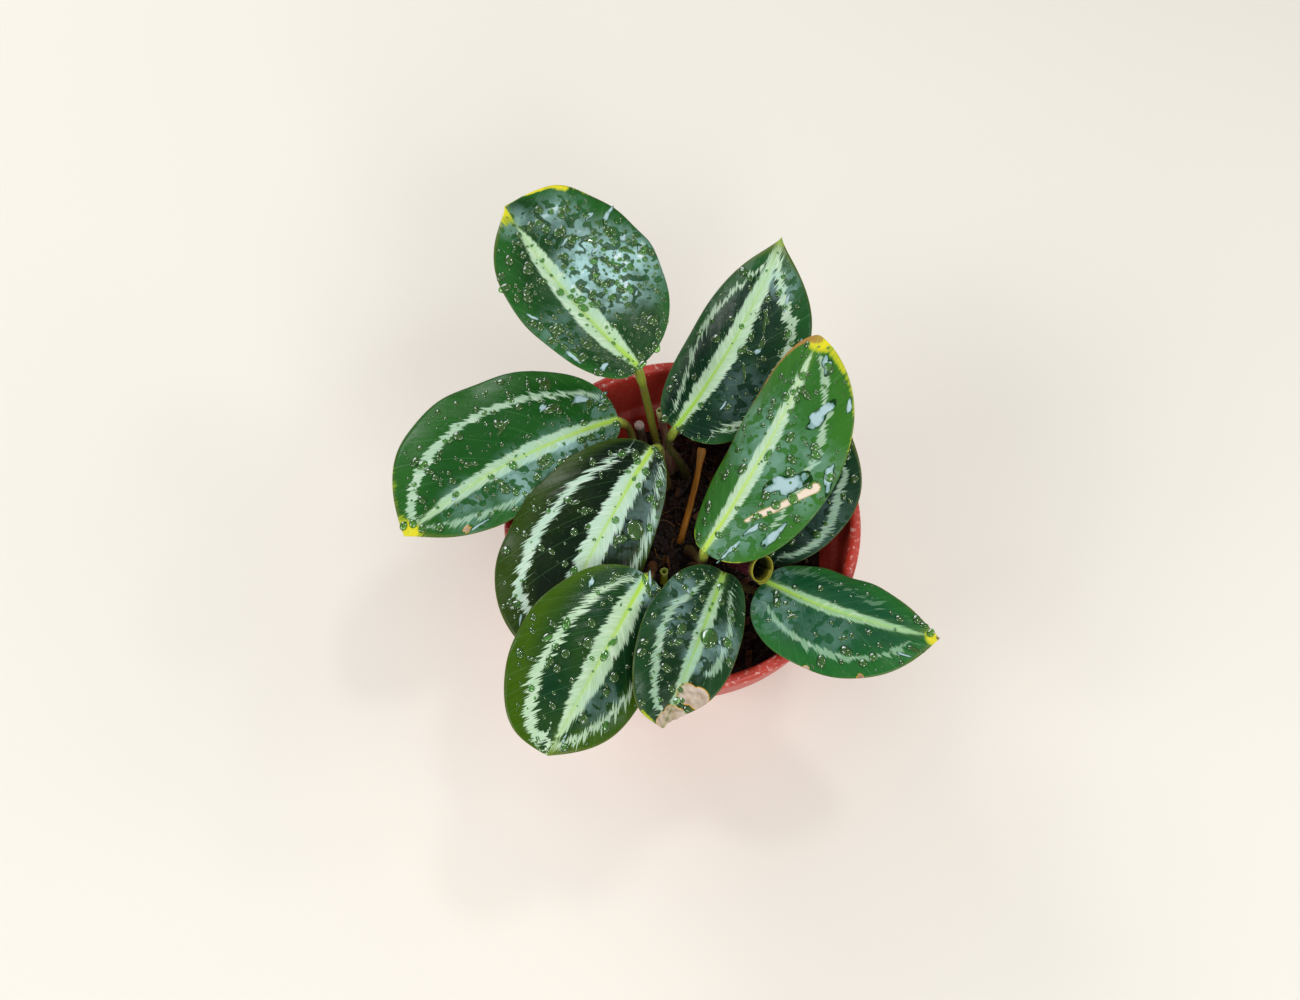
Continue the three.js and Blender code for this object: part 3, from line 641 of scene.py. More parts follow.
def blade_relief(blade, number, share, side, along, across):
    """Small heights in mm that both faces share: pleats between the side veins, and the crumpled dry tip."""
    arch = np.sin(np.pi * np.clip(np.abs(side), 0, 1)) ** 0.7
    pleat = PLEAT * np.cos(2 * np.pi * SIDE_VEINS * share) * arch
    fold, groove = folds_and_groove(blade, number, along, across)
    dry = spot_values(blade, MARKS[number]["dry"], along, across)
    crumple = 0.45 * np.sin(1.9 * along + 0.8 * across) + 0.35 * np.sin(1.3 * across - 2.3 * along + 2)
    return pleat + fold * (1 - np.abs(side) ** 4) + groove - SINK + dry * crumple


def build_blade(number):
    """One blade as a closed sheet that keeps the pattern's values at its points."""
    blade, marks = BLADES[number], MARKS[number]
    shares = np.linspace(0, 1, ROWS + 1)[1:-1]
    spread = np.linspace(-1, 1, 2 * SPANS + 1)
    spread = MARGIN_INSET * np.sign(spread) * np.abs(spread) ** 1.15
    share, side = np.meshgrid(shares, spread, indexing="ij")
    share = np.concatenate([[0.0], share.ravel(), [TIP_INSET]])
    side = np.concatenate([[0.0], side.ravel(), [0.0]])
    along, across = pattern_point(blade, share, side)
    grown_share = along / blade["length"]
    normal = facing(blade, along, across)
    relief = blade_relief(blade, number, share, side, along, across)
    top = on_blade(blade, along, across) + normal * relief[:, None]
    rib = SHEET_RIB * (1 - 0.8 * np.clip(grown_share, 0, 1)) * np.exp(-((across / 1.3) ** 2))
    under = top - normal * (SHEET_EDGE + rib)[:, None]

    columns, count = len(spread), len(share)
    faces = quads(len(shares), columns, first=1, closed=False, flip=True)
    last = count - 1 - columns
    for column in range(columns - 1):
        faces.append((0, 1 + column, 2 + column))
        faces.append((count - 1, last + column + 1, last + column))
    lower = [tuple(count + corner for corner in reversed(face)) for face in faces]
    right_edge = range(1, count - 1, columns)
    rim = [0, *right_edge, count - 1, *(first + columns - 1 for first in reversed(right_edge))]
    ring = [(a, count + a, count + b, b) for a, b in zip(rim, rim[1:] + rim[:1])]
    made = mesh_object(f"blade_{number}", np.vstack([top, under]), faces + lower + ring,
                       [skins[number], underside])
    made.data.polygons.foreach_set("material_index", [0] * len(faces) + [1] * len(lower) + [0] * len(ring))

    signed, half_width, strength = ring_values(blade, marks["rings"], along, across)
    scar, scar_half, _ = ring_values(blade, [(marks["scar"], 1.0)] if marks["scar"] else [], along, across)
    margin_side = np.where(side >= 0, 1.0, -1.0)
    from_edge = np.abs(pattern_point(blade, share, margin_side)[1]) * (1 - np.abs(side))
    rib_width = np.interp(grown_share, [0, 0.25, 0.7, 1], [1.3, 0.7, 0.42, 0.2])
    rib_line = 1 - smooth_step(0.45, 1.0, np.abs(across) / rib_width)
    rib_glow = 0.38 * np.exp(-((across / 1.5) ** 2))
    values = dict(
        share=share, side=side, band=np.abs(across) - band_half_width(blade, *marks["band"], along),
        ring=signed, ring_half=half_width, ring_strength=strength, edge=from_edge,
        scar=np.abs(scar) - scar_half,
        rib=np.interp(grown_share, [0, 0.35, 0.9], [1.0, 0.8, 0.3]) * np.maximum(rib_line, rib_glow))
    for mark in ("dry", "painted_sheen"):
        values[mark] = spot_values(blade, marks[mark], along, across)
    for mark in ("yellow", "rust"):
        values[mark] = margin_values(blade, marks[mark], along, across, from_edge)
    for name, value in values.items():
        write_values(made, name, np.concatenate([value, value]))
    return made


blades = {number: build_blade(number) for number in BLADES}
for number, piece in blades.items():
    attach(piece, "root")
    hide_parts(f"leaf_{number}_blade")
print("triangles in the blades:", triangles(*blades.values()))

# %% [markdown]
# ## The stalks
#
# Each blade is carried by a petiole: a round stalk, wide where it clasps the crown, thin above, with a
# swollen joint under the blade that turns the leaf to the light. A stalk follows a path, so Geometry Nodes
# sweep a circle along it. The path's points keep their own radius, and the tree keeps two things for the
# material: how far up the stalk a point is (reach), and on which side of it (around).

# %% A tree that sweeps a stalk along its path
def new_tree(name, inputs):
    """An empty Geometry Nodes tree with these named inputs, the function that adds a node to it, and the
    sockets that its inputs come from."""
    tree = bpy.data.node_groups.new(name, "GeometryNodeTree")
    for way in ("INPUT", "OUTPUT"):
        tree.interface.new_socket(name="Geometry", in_out=way, socket_type="NodeSocketGeometry")
    for label, (kind, value) in inputs.items():
        socket = tree.interface.new_socket(name=label, in_out="INPUT", socket_type="NodeSocket" + kind)
        if value is not None:
            socket.default_value = value
    return tree, partial(add, tree), add(tree, "NodeGroupInput").outputs


def end_tree(tree, geometry, material=None):
    """Ends a tree: its instances become real, get their material, and leave by the group's output."""
    real = add(tree, "GeometryNodeRealizeInstances", geometry)
    if material:
        real = add(tree, "GeometryNodeSetMaterial", Geometry=real, Material=material)
    wire(tree, real, add(tree, "NodeGroupOutput").inputs["Geometry"])
    return tree


def stalk_tree():
    """Sweeps a circle along a path of edges whose points keep a radius, and raises low ridges on it."""
    tree, put, given = new_tree("stalk along its path", {
        "Sides": ("Int", 16), "Ridge Depth": ("Float", 0.1 * MM), "Seed": ("Float", 1.0),
        "Material": ("Material", None)})
    path = put("GeometryNodeMeshToCurve", given["Geometry"])
    path = put("GeometryNodeStoreNamedAttribute FLOAT", domain="POINT", Geometry=path, Name="reach",
               Value=put("GeometryNodeSplineParameter"))
    circle = put("GeometryNodeCurvePrimitiveCircle", Resolution=given["Sides"], Radius=1.0)
    circle = put("GeometryNodeStoreNamedAttribute FLOAT_VECTOR", domain="POINT", Geometry=circle,
                 Name="around", Value=put("GeometryNodeInputPosition"))
    radius = put("GeometryNodeInputNamedAttribute FLOAT", Name="radius")
    stalk = put("GeometryNodeCurveToMesh", Curve=path, Profile_Curve=circle, Scale=radius, Fill_Caps=True)
    reach = put("GeometryNodeInputNamedAttribute FLOAT", Name="reach")
    around = put("GeometryNodeInputNamedAttribute FLOAT_VECTOR", Name="around")
    far = put("Math ADD", put("Math MULTIPLY", reach, 1.2), given["Seed"])
    ridges = put("TexNoise", put("VectorMath ADD", around, put("CombineXYZ", Z=far)), 2.2, 2.0)
    depth = put("Math MULTIPLY", put("Math SUBTRACT", ridges, 0.6), given["Ridge Depth"])
    push = put("VectorMath SCALE", put("GeometryNodeInputNormal"), depth)
    return end_tree(tree, put("GeometryNodeSetPosition", Geometry=stalk, Offset=push), given["Material"])


def grown(name, base, tree, **inputs):
    """Runs a tree on a base object with these inputs, and returns the result as a plain mesh object."""
    modifier = base.modifiers.new("grow", "NODES")
    modifier.node_group = tree
    names = {item.name: item.identifier for item in tree.interface.items_tree if item.in_out == "INPUT"}
    for label, value in inputs.items():
        modifier[names[label.replace("_", " ")]] = value
    ready = base.evaluated_get(bpy.context.evaluated_depsgraph_get())
    mesh = bpy.data.meshes.new_from_object(ready)
    mesh.name = name
    mesh.polygons.foreach_set("use_smooth", [True] * len(mesh.polygons))
    bpy.data.objects.remove(base)
    return in_scene(name, mesh)


STALK_TREE = stalk_tree()
print("stalk tree nodes:", len(STALK_TREE.nodes))

# %% [markdown]
# ## The skin of a stalk
#
# Living stalks are olive to lime, flushed with maroon near the crown, with fine lengthwise streaks and a
# satin skin. Old stalks dry to orange-brown. Each could have its own material tree, but they differ only in
# colour and gloss, so one finish with three colours from foot to joint serves them all.

# %% Stalk skin: waxy living tissue, streaked lengthwise
def stalk_skin(name, foot, middle, joint, streak="#6a4a1e", rough=0.42, turns=(0.3, 0.86)):
    """A stalk's skin. It changes from foot to joint, and lengthwise streaks show which way it grew."""
    skin, put = new_material(name)
    reach = put("Attribute", attribute_name="reach").outputs["Fac"]
    around = put("Attribute", attribute_name="around").outputs["Vector"]
    place = put("VectorMath ADD", around, put("CombineXYZ", Z=put("Math MULTIPLY", reach, 2.0)))
    lines = put("TexNoise", place, 3.2, 4.0)
    colour = foot
    for strength, coat in ((put("MapRange", reach, 0.08, turns[0]), middle),
                           (put("MapRange", reach, turns[1], turns[1] + 0.06), joint),
                           (put("MapRange", lines, 0.45, 0.7, 0.0, 0.75), streak)):
        colour = put("Mix RGBA", strength, colour, coat)
    bump = put("Bump", Height=lines, Strength=0.5, Distance=0.4 * MM)
    return finish(skin, Base_Color=colour, Normal=bump, Roughness=rough, IOR=1.45)


# %% The nine petioles
SOIL_LEVEL, FOOT_LEVEL = 55.5, 46.5
# For each leaf the colours of its stalk at the foot, in the middle and at the joint, and of its streaks.
STALK_SKINS = {
    1: ("#54421e", "#56661a", "#8aa334", "#86602a"),
    2: ("#3a2620", "#444c20", "#90a638", "#5c3524"),
    3: ("#5a2c34", "#6d6a34", "#a6bd42", "#6b3038"),
    4: ("#5a2c34", "#666a34", "#9ab43c", "#6b3038"),
    5: ("#64482c", "#80843a", "#a8bd4a", "#a0783e"),
    6: ("#5c3a2c", "#727c34", "#a2ba44", "#7a4a30"),
    7: ("#6a3428", "#7c5a30", "#9db646", "#8a3c2c"),
    8: ("#5a2c34", "#66703a", "#9cb648", "#6b3038"),
    9: ("#5a2436", "#5f6232", "#9cb448", "#6b3038"),
}
# Where each stalk leaves the soil, as (x, y) in mm.
FEET = {1: (-5.5, 27.3), 2: (1.8, 31.2), 3: (3, -0.7), 4: (15, 1.3), 5: (-12.5, 24.8), 6: (-7.5, 19.8),
        7: (-10.3, -7.2), 8: (3, -10.7), 9: (9, -10.7)}
# How far a stalk's end lies under the blade's upper side, and the length of the swollen joint, in mm.
JOINT_DEPTH, JOINT_LENGTH = 1.97, 10
# Radii in mm: the shaft, what the flare at the foot adds and how far it reaches, the joint, the tip's taper.
SHAFT, FLARE, FLARE_REACH, JOINT_SWELL, TIP_TAPER = 1.35, 0.85, 22, 0.3, 0.45


def path_object(points, radii):
    """A path in mm as a chain of edges that keeps a radius for each point."""
    mesh = bpy.data.meshes.new("path")
    chain = [(i, i + 1) for i in range(len(points) - 1)]
    mesh.from_pydata((np.asarray(points, float) * MM).tolist(), chain, [])
    made = in_scene("path", mesh)
    write_values(made, "radius", np.asarray(radii, float) * MM)
    return made


def even_line(points, count):
    """The same line with its points at even distances, and its length."""
    reach = np.concatenate([[0], np.cumsum(np.linalg.norm(np.diff(points, axis=0), axis=1))])
    return along_path(np.linspace(0, reach[-1], count), reach, points), reach[-1]


def petiole_path(number):
    """The line of one petiole: out of the soil, up to its blade, and along the blade's base for a little."""
    blade = BLADES[number]
    stations, _, _, normal, forward = midrib(blade)
    start = int(np.argmin(np.abs(stations)))
    base, up, ahead = np.array(blade["base"], float), normal[start], forward[start]
    end = base - up * JOINT_DEPTH
    joint = end - unit(0.45 * ahead + 0.9 * up) * JOINT_LENGTH
    foot, ground = (np.array([*FEET[number], level]) for level in (FOOT_LEVEL, SOIL_LEVEL + 4))
    line = smooth_line([foot, ground, (ground + joint) / 2, joint, end])
    return np.vstack([line, end + unit(0.9 * ahead + 0.5 * up) * 1.6])


def petiole_radii(length, height):
    """A petiole's radius in mm at each height: flared where it clasps the crown, swollen at the joint."""
    swell = smooth_step(length - 11, length - 6.5, height)
    swell = swell * (1 - 0.65 * smooth_step(length - 2.4, length, height))
    taper = smooth_step(length - 1.6, length, height)
    return SHAFT + FLARE * np.exp(-((height / FLARE_REACH) ** 2)) + JOINT_SWELL * swell - TIP_TAPER * taper


petioles = {}
for number in BLADES:
    line, length = even_line(petiole_path(number), 70)
    path = path_object(line, petiole_radii(length, np.linspace(0, length, len(line))))
    skin = stalk_skin(f"leaf {number} stalk skin, waxy", *STALK_SKINS[number])
    petioles[number] = grown(f"petiole_{number}", path, STALK_TREE, Sides=20, Ridge_Depth=0.28 * MM,
                             Seed=float(number), Material=skin)
    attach(petioles[number], "root")
    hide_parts(f"leaf_{number}_petiole")
print("triangles in the petioles:", triangles(*petioles.values()))

# %% [markdown]
# ## Old stalks and cut ends
#
# Dead leaves are cut off, and their stalks stay for a while: an orange-brown one leans over the soil, a
# pale cut one stands by the back wall. They could be modelled apart, but they are stalks too, so the same
# tree sweeps them, with deeper ridges where a stalk has withered.

# %% The dried petiole and the cut stalk
def path_through(places, count):
    """A smooth path through these places in mm, with its points at even distances."""
    return even_line(smooth_line(places), count)[0]


def old_stalk(name, places, count, radii, skin, **inputs):
    """A stalk swept along a path through these places. Radii are two rows: shares of the path, and mm."""
    path = path_object(path_through(places, count), np.interp(np.linspace(0, 1, count), *radii))
    return grown(name, path, STALK_TREE, Material=skin, **inputs)


dried = old_stalk(
    "dried_stalk", [(0, 4.3, FOOT_LEVEL), (0.2, 4.3, 57.5), (3.4, 14.3, 64.5), (6, 24.3, 69),
                    (7.9, 34.3, 74)],
    60, ([0, 0.3, 0.85, 0.97, 1], [1.6, 1.25, 1.15, 1.7, 1.4]),
    stalk_skin("dried stalk, withered fibre", "#9a5e20", "#dc932c", "#dca04a", "#85500f", 0.62),
    Sides=18, Ridge_Depth=0.7 * MM, Seed=31.0)
cut = old_stalk(
    "cut_stalk_end", [(-14, 42.8, FOOT_LEVEL), (-14, 42.8, 57), (-15.6, 45.8, 70.9)],
    30, ([0, 0.9, 1], [1.9, 1.95, 1.8]),
    stalk_skin("cut stalk, pale pith and dry skin", "#33241a", "#463526", "#f6f0e4", "#8a7a66", 0.6,
               (0.3, 0.92)),
    Sides=22, Ridge_Depth=0.2 * MM, Seed=37.0)
for piece, node, slot in ((dried, "dried_petiole", "dried"), (cut, "cut_stalk", "cut_stalk")):
    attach(piece, "root")
    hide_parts(node)
print("old stalks:", triangles(dried, cut), "triangles")

# %% [markdown]
# ## The hollow stubs
#
# The maroon stub and the lime stub are hollow at their cut ends. The stalk tree makes solid stalks, and a
# hollow end needs an inner wall, so these are turned: a profile of reach and radius, with the bore as its
# last part, is bent along the path in plain code.

# %% The two hollow stubs
def across_path(line, aside):
    """Three directions at each point of a path: along it, across it, and across both."""
    tangent = unit(np.gradient(line, axis=0))
    first = unit(np.cross(tangent, np.array(aside)))
    return tangent, first, np.cross(tangent, first)


def bent_turning(name, line, profile, skin, seed, sides=28, wobble=0.06):
    """Turns a profile of (reach, radius) rows round a path, a little out of round, as one closed skin."""
    steps = np.linspace(0, 1, len(line))
    _, first, second = across_path(line, (1.0, 0.25, 0.1))
    angle = np.linspace(0, 2 * np.pi, sides, endpoint=False)
    cos, sin = np.cos(angle), np.sin(angle)
    points = []
    for reach, radius in profile:
        centre, one, two = (along_path(reach, steps, kept) for kept in (line, first, second))
        uneven = 1 + wobble * np.sin(3 * angle + seed)
        uneven = radius * (uneven + 0.5 * wobble * np.sin(5 * angle + 2 * seed + 4 * reach))
        points.append(centre + np.outer(uneven * cos, one) + np.outer(uneven * sin, two))
    rows = len(profile)
    ends = [tuple(reversed(range(sides))), tuple((rows - 1) * sides + k for k in range(sides))]
    made = mesh_object(name, np.vstack(points), quads(rows, sides) + ends, [skin])
    write_values(made, "reach", np.repeat([reach for reach, _ in profile], sides))
    write_values(made, "around", np.tile(np.stack([cos, sin, 0 * angle], -1), (rows, 1)))
    return made


def tube_profile(radii, bore, depth, steps=24):
    """Rows for bent_turning: up the outside, over a rounded rim, and down the bore to its floor."""
    rows = [(share, float(np.interp(share, *radii))) for share in np.linspace(0, 0.985, steps)]
    rim = radii[1][-1]
    rows += [(0.995, rim - 0.06), (1.0, (rim + bore) / 2), (0.995, bore + 0.05)]
    inside = np.linspace(0.98, depth, 6)
    return rows + [(share, bore * (1 - 0.35 * (1 - share) / (1 - depth))) for share in inside]


maroon_stub = bent_turning(
    "maroon_cut_stalk",
    path_through([(-3.6, 33.3, FOOT_LEVEL), (-3.6, 33.3, 58), (-4.9, 36.2, 72), (-7.8, 40.8, 92)], 60),
    tube_profile(([0, 0.5, 1], [2.1, 1.5, 1.5]), 0.8, 0.92),
    stalk_skin("old stalk, maroon and mottled", "#5a3030", "#7c4a46", "#a8b070", "#8a9058", 0.5, (0.5, 0.9)),
    seed=2)
lime_stub = bent_turning(
    "lime_hollow_stalk",
    path_through([(-6.3, -11.7, FOOT_LEVEL), (-6.3, -11.7, 58), (-6.3, -11.5, 66)], 40),
    tube_profile(([0, 1], [1.5, 1.5]), 0.9, 0.6),
    stalk_skin("cut stalk, lime and hollow", "#8f9a30", "#a9bf2c", "#cfe06a", "#8a9a2a", 0.4, (0.4, 0.85)),
    seed=5)
for piece, node, slot in ((maroon_stub, "maroon_stub", "stub"), (lime_stub, "hollow_stub", "hollow")):
    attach(piece, "root")
    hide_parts(node)
print("hollow stubs:", triangles(maroon_stub, lime_stub), "triangles")

# %% [markdown]
# ## The leaf that is still rolled
#
# A new calathea leaf comes up as a tight roll, maroon outside, and opens from its mouth. A tube would be
# simpler, but the roll's loose edge shows at the mouth. So it is built as what it is, a sheet: a spiral of
# a turn and a quarter, half a millimetre thick, whose mouth widens and leans.

# %% Rolled leaf: young tissue, velvety
def rolled_leaf_skin():
    """Maroon outside with lengthwise veins, and olive inside painted nearly black as shade, so that the
    mouth shows as a dark opening.
    """
    skin, put = new_material("rolled leaf, maroon and velvety")
    reach, turn, inside = (put("Attribute", attribute_name=name).outputs["Fac"]
                           for name in ("reach", "turn", "inside"))
    place = put("CombineXYZ", put("Math MULTIPLY", turn, 26.0), put("Math MULTIPLY", reach, 5.0))
    veins = put("TexNoise", place, 1.6, 3.0)
    outer = put("Mix RGBA", put("MapRange", veins, 0.35, 0.68), "#240710", "#561a2c")
    # Painted shade: the olive inside is painted dark, as the hollow of the roll would be in shade.
    shaded_inside = put("Mix RGBA", put("MapRange", veins, 0.3, 0.7), "#10160a", "#343c14")
    colour = put("Mix RGBA", inside, outer, shaded_inside)
    colour = put("Mix RGBA", put("MapRange", reach, 0.94, 1.0), colour, "#8c8a2a")
    bump = put("Bump", Height=veins, Strength=0.6, Distance=0.4 * MM)
    return finish(skin, Base_Color=colour, Normal=bump, Roughness=0.55, IOR=1.3)


# %% Build the rolled leaf
def closed_sheet(name, skins, rows, columns, material):
    """A sheet from its outer and its inner skin, each in rows of points, closed along all four edges."""
    count, faces = rows * columns, []
    for a, b, c, d in quads(rows, columns, closed=False):
        faces += [(a, b, c, d), (count + a, count + d, count + c, count + b)]
    rim = [*range(columns), *(row * columns + columns - 1 for row in range(1, rows))]
    rim += [count - 1 - column for column in range(1, columns)]
    rim += [row * columns for row in range(rows - 2, 0, -1)]
    faces += [(a, count + a, count + b, b) for a, b in zip(rim, rim[1:] + rim[:1])]
    return mesh_object(name, np.vstack(skins), faces, [material])


def build_rolled_leaf(turns=1.25, sheet=0.42, columns=72, rows=60):
    """The young leaf as a sheet rolled round its own path, from the soil to its open mouth."""
    line = path_through([(10, -1.7, FOOT_LEVEL), (10, -1.7, 58), (14, -7.2, 72), (20.5, -15.2, 86),
                         (27, -23, 98)], rows)
    tangent, first, second = across_path(line, (0.6, 0.8, 0.0))
    reach, turn = np.linspace(0, 1, rows), np.linspace(0, 1, columns)
    radius = np.interp(reach, [0, 0.3, 0.6, 0.93, 1], [2.6, 2.9, 3.9, 4.7, 5.3])
    angle = 2 * np.pi * turns * turn + 2.2
    tighter = 0.75 * turns * turn[None, :] * np.interp(reach, [0, 1], [0.8, 1.0])[:, None]
    lean = (1.3 * np.cos(angle - 0.6) - 1.2)[None, :] * smooth_step(0.8, 1, reach)[:, None]
    skins = []
    for inward in (0.0, sheet):
        spiral = np.maximum(radius[:, None] - tighter - inward, 0.35)
        place = line[:, None, :] + tangent[:, None, :] * lean[..., None]
        place = place + first[:, None, :] * (spiral * np.cos(angle))[..., None]
        skins.append((place + second[:, None, :] * (spiral * np.sin(angle))[..., None]).reshape(-1, 3))
    made = closed_sheet("rolled_young_leaf", skins, rows, columns, rolled_leaf_skin())
    write_values(made, "reach", np.tile(np.repeat(reach, columns), 2))
    write_values(made, "turn", np.tile(turn, rows * 2))
    write_values(made, "inside", np.repeat([0.0, 1.0], rows * columns))
    return made


rolled = build_rolled_leaf()
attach(rolled, "root")
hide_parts("rolled_leaf")
print("rolled leaf:", triangles(rolled), "triangles")

# %% [markdown]
# ## A scrap of old sheath
#
# Behind the lime stub stands what is left of a leaf's sheath: brown, dry and thin as paper, curled round
# the place where a stalk once stood. Cloth simulation could crumple it, but so small a scrap needs only a
# curled sheet with a ragged end.

# %% Build the dry sheath
def build_sheath(columns=26, rows=34, sheet=0.22):
    """The papery scrap as a sheet curled round a short path, torn along its upper edge."""
    line = path_through([(-5.2, -6, FOOT_LEVEL + 1), (-5.2, -6, 57), (-5.7, -5.6, 66)], rows)
    reach, turn = np.meshgrid(np.linspace(0, 1, rows), np.linspace(0, 1, columns), indexing="ij")
    angle = 4.4 * (turn - 0.5) + 1.1 + 0.25 * np.sin(5 * reach)
    radius = np.interp(reach, [0, 0.7, 1], [1.55, 1.3, 0.75]) * (1 + 0.08 * np.sin(9 * turn + 4 * reach))
    ragged = 0.6 + 0.9 * np.abs(np.sin(13 * turn)) + 0.5 * np.sin(31 * turn)
    down = -ragged * smooth_step(0.7, 1, reach)
    skins = []
    for inward in (0.0, sheet):
        out = np.stack([(radius - inward) * np.cos(angle), (radius - inward) * np.sin(angle), down], -1)
        skins.append((line[:, None, :] + out).reshape(-1, 3))
    skin = stalk_skin("old sheath, papery and dry", "#5c3a20", "#8a5a34", "#a87844", "#4a2c18", 0.7)
    made = closed_sheet("dry_sheath_scrap", skins, rows, columns, skin)
    write_values(made, "reach", np.tile(reach.ravel(), 2))
    around = np.stack([np.cos(angle), np.sin(angle), 0 * angle], -1).reshape(-1, 3)
    write_values(made, "around", np.vstack([around, around]))
    return made


sheath = build_sheath()
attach(sheath, "root")
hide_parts("dry_sheath")
print("dry sheath:", triangles(sheath), "triangles")

# %% [markdown]
# ## Fine hairs
#
# Young stalks and the rolled leaf wear short pale hairs, which catch the light along their edges. Real
# hairs are thinner than the picture can show, so these are drawn a little coarser. Hair particles would be
# lost when the model is exported, so Geometry Nodes place a thin three-sided spike on each of many seeded
# points.

# %% A tree that grows hairs on a skin
def hair_tree():
    """Sets a thin spike on many random points of a skin, each leaning its own way."""
    tree, put, given = new_tree("short hairs", {
        "Hairs per m2": ("Float", 1.0e6), "Length": ("Float", 0.9 * MM), "Thickness": ("Float", 0.07 * MM),
        "Seed": ("Int", 7), "Material": ("Material", None)})
    spots = put("GeometryNodeDistributePointsOnFaces", Mesh=given["Geometry"],
                Density=given["Hairs per m2"], Seed=given["Seed"])
    spike = put("GeometryNodeMeshCone", Vertices=3, Radius_Top=0.0, Radius_Bottom=given["Thickness"],
                Depth=given["Length"])
    lean = put("FunctionNodeRandomValue FLOAT_VECTOR", (-0.6, -0.6, -3.0), (0.6, 0.6, 3.0),
               Seed=given["Seed"])
    leaning = put("FunctionNodeRotateRotation", rotation_space="LOCAL", Rotation=spots.outputs["Rotation"],
                  Rotate_By=put("FunctionNodeEulerToRotation", lean))
    size = put("FunctionNodeRandomValue FLOAT", 0.6, 1.2, Seed=given["Seed"])
    hairs = put("GeometryNodeInstanceOnPoints", Points=spots, Instance=spike, Rotation=leaning, Scale=size)
    return end_tree(tree, hairs, given["Material"])


# %% Hair: translucent fibre, grown
def hair_skin():
    """A thin pale fibre. Its colour varies from place to place, so that no two hairs look quite alike."""
    skin, put = new_material("plant hair, translucent fibre")
    noise = put("TexNoise", put("TexCoord").outputs["Object"], 400.0, 2.0)
    colour = put("Mix RGBA", put("MapRange", noise, 0.3, 0.7), "#7c6960", "#a38a7e")
    return finish(skin, Base_Color=colour, Roughness=0.45)


HAIR_TREE, hair = hair_tree(), hair_skin()
hairy = [(rolled, 2.0e5), (maroon_stub, 4.0e5), *((petioles[k], 3.0e5) for k in BLADES)]
for order, (skin, density) in enumerate(hairy):
    ground = in_scene("hair ground", skin.data.copy())
    piece = grown("hairs_" + skin.name, ground, HAIR_TREE, Hairs_per_m2=density, Seed=11 + order,
                  Material=hair)
    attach(piece, "root")
    print(piece.name, triangles(piece), "triangles")

# %% [markdown]
# ## The pot
#
# The pot is a thin moulded plastic one: a tapered body, a step out to the collar and a rounded lip.
# Cylinders and bevels could make it, but a moulded round thing is a profile turned round an axis. So the
# profile is drawn first, its corners are eased as a mould maker would, and it is turned in 240 steps. The
# drain holes are one cylinder on each of eight points, and Geometry Nodes place and cut them.

# %% The pot's profile
# Each row is (radius, height, size of the eased corner) in mm, from the base up the outside and down inside.
POT_PROFILE = [
    (38.4, 0, 0.2), (40, 1.6, 0.8), (56.2, 65.4, 1.0), (59.2, 66.6, 0.6), (60.6, 85.4, 0.8), (61.9, 86, 0.4),
    (62.5, 86.6, 0.5), (62.5, 88.8, 1.1), (61.6, 89.8, 0.7), (60.5, 90, 0.7), (59.3, 89.7, 0.7),
    (58.4, 88.6, 1.1),
    (57.4, 68.2, 0.8), (56.9, 67.2, 0.6), (54.4, 65, 1.0), (38.61, 3.8, 1.2), (36.6, 2.2, 1.2),
]
POT_SIDES = 240
# The drain holes: how many, the radius of the ring they stand on, their own radius, and the drill's length.
DRAIN_HOLES, DRAIN_RING, DRAIN_RADIUS, DRILL_LENGTH = 8, 28, 3.5, 12


def eased(profile, steps=4):
    """The profile with each corner replaced by a small curve of its own radius."""
    corners = [np.array(row[:2], float) for row in profile]
    line = [np.array([0.0, profile[0][1]])]
    for k, corner in enumerate(corners):
        before = corners[k - 1] if k else line[0]
        after = corners[k + 1] if k + 1 < len(corners) else np.array([0.0, profile[-1][1]])
        reach = [min(profile[k][2], 0.45 * np.linalg.norm(end - corner)) for end in (before, after)]
        start = corner + (before - corner) / np.linalg.norm(before - corner) * reach[0]
        end = corner + (after - corner) / np.linalg.norm(after - corner) * reach[1]
        for t in np.linspace(0, 1, steps):
            line.append((1 - t) ** 2 * start + 2 * t * (1 - t) * corner + t**2 * end)
    return line + [np.array([0.0, profile[-1][1]])]


def turned(name, line, sides):
    """A profile turned round the upright axis. Its first and last points lie on the axis."""
    angle = np.linspace(0, 2 * np.pi, sides, endpoint=False)
    rings = [np.stack([radius * np.cos(angle), radius * np.sin(angle), np.full(sides, height)], -1)
             for radius, height in line[1:-1]]
    points = np.vstack([[[0, 0, line[0][1]]], *rings, [[0, 0, line[-1][1]]]])
    return mesh_object(name, points, round_faces(len(rings), sides))


print("points in the eased profile:", len(eased(POT_PROFILE)))


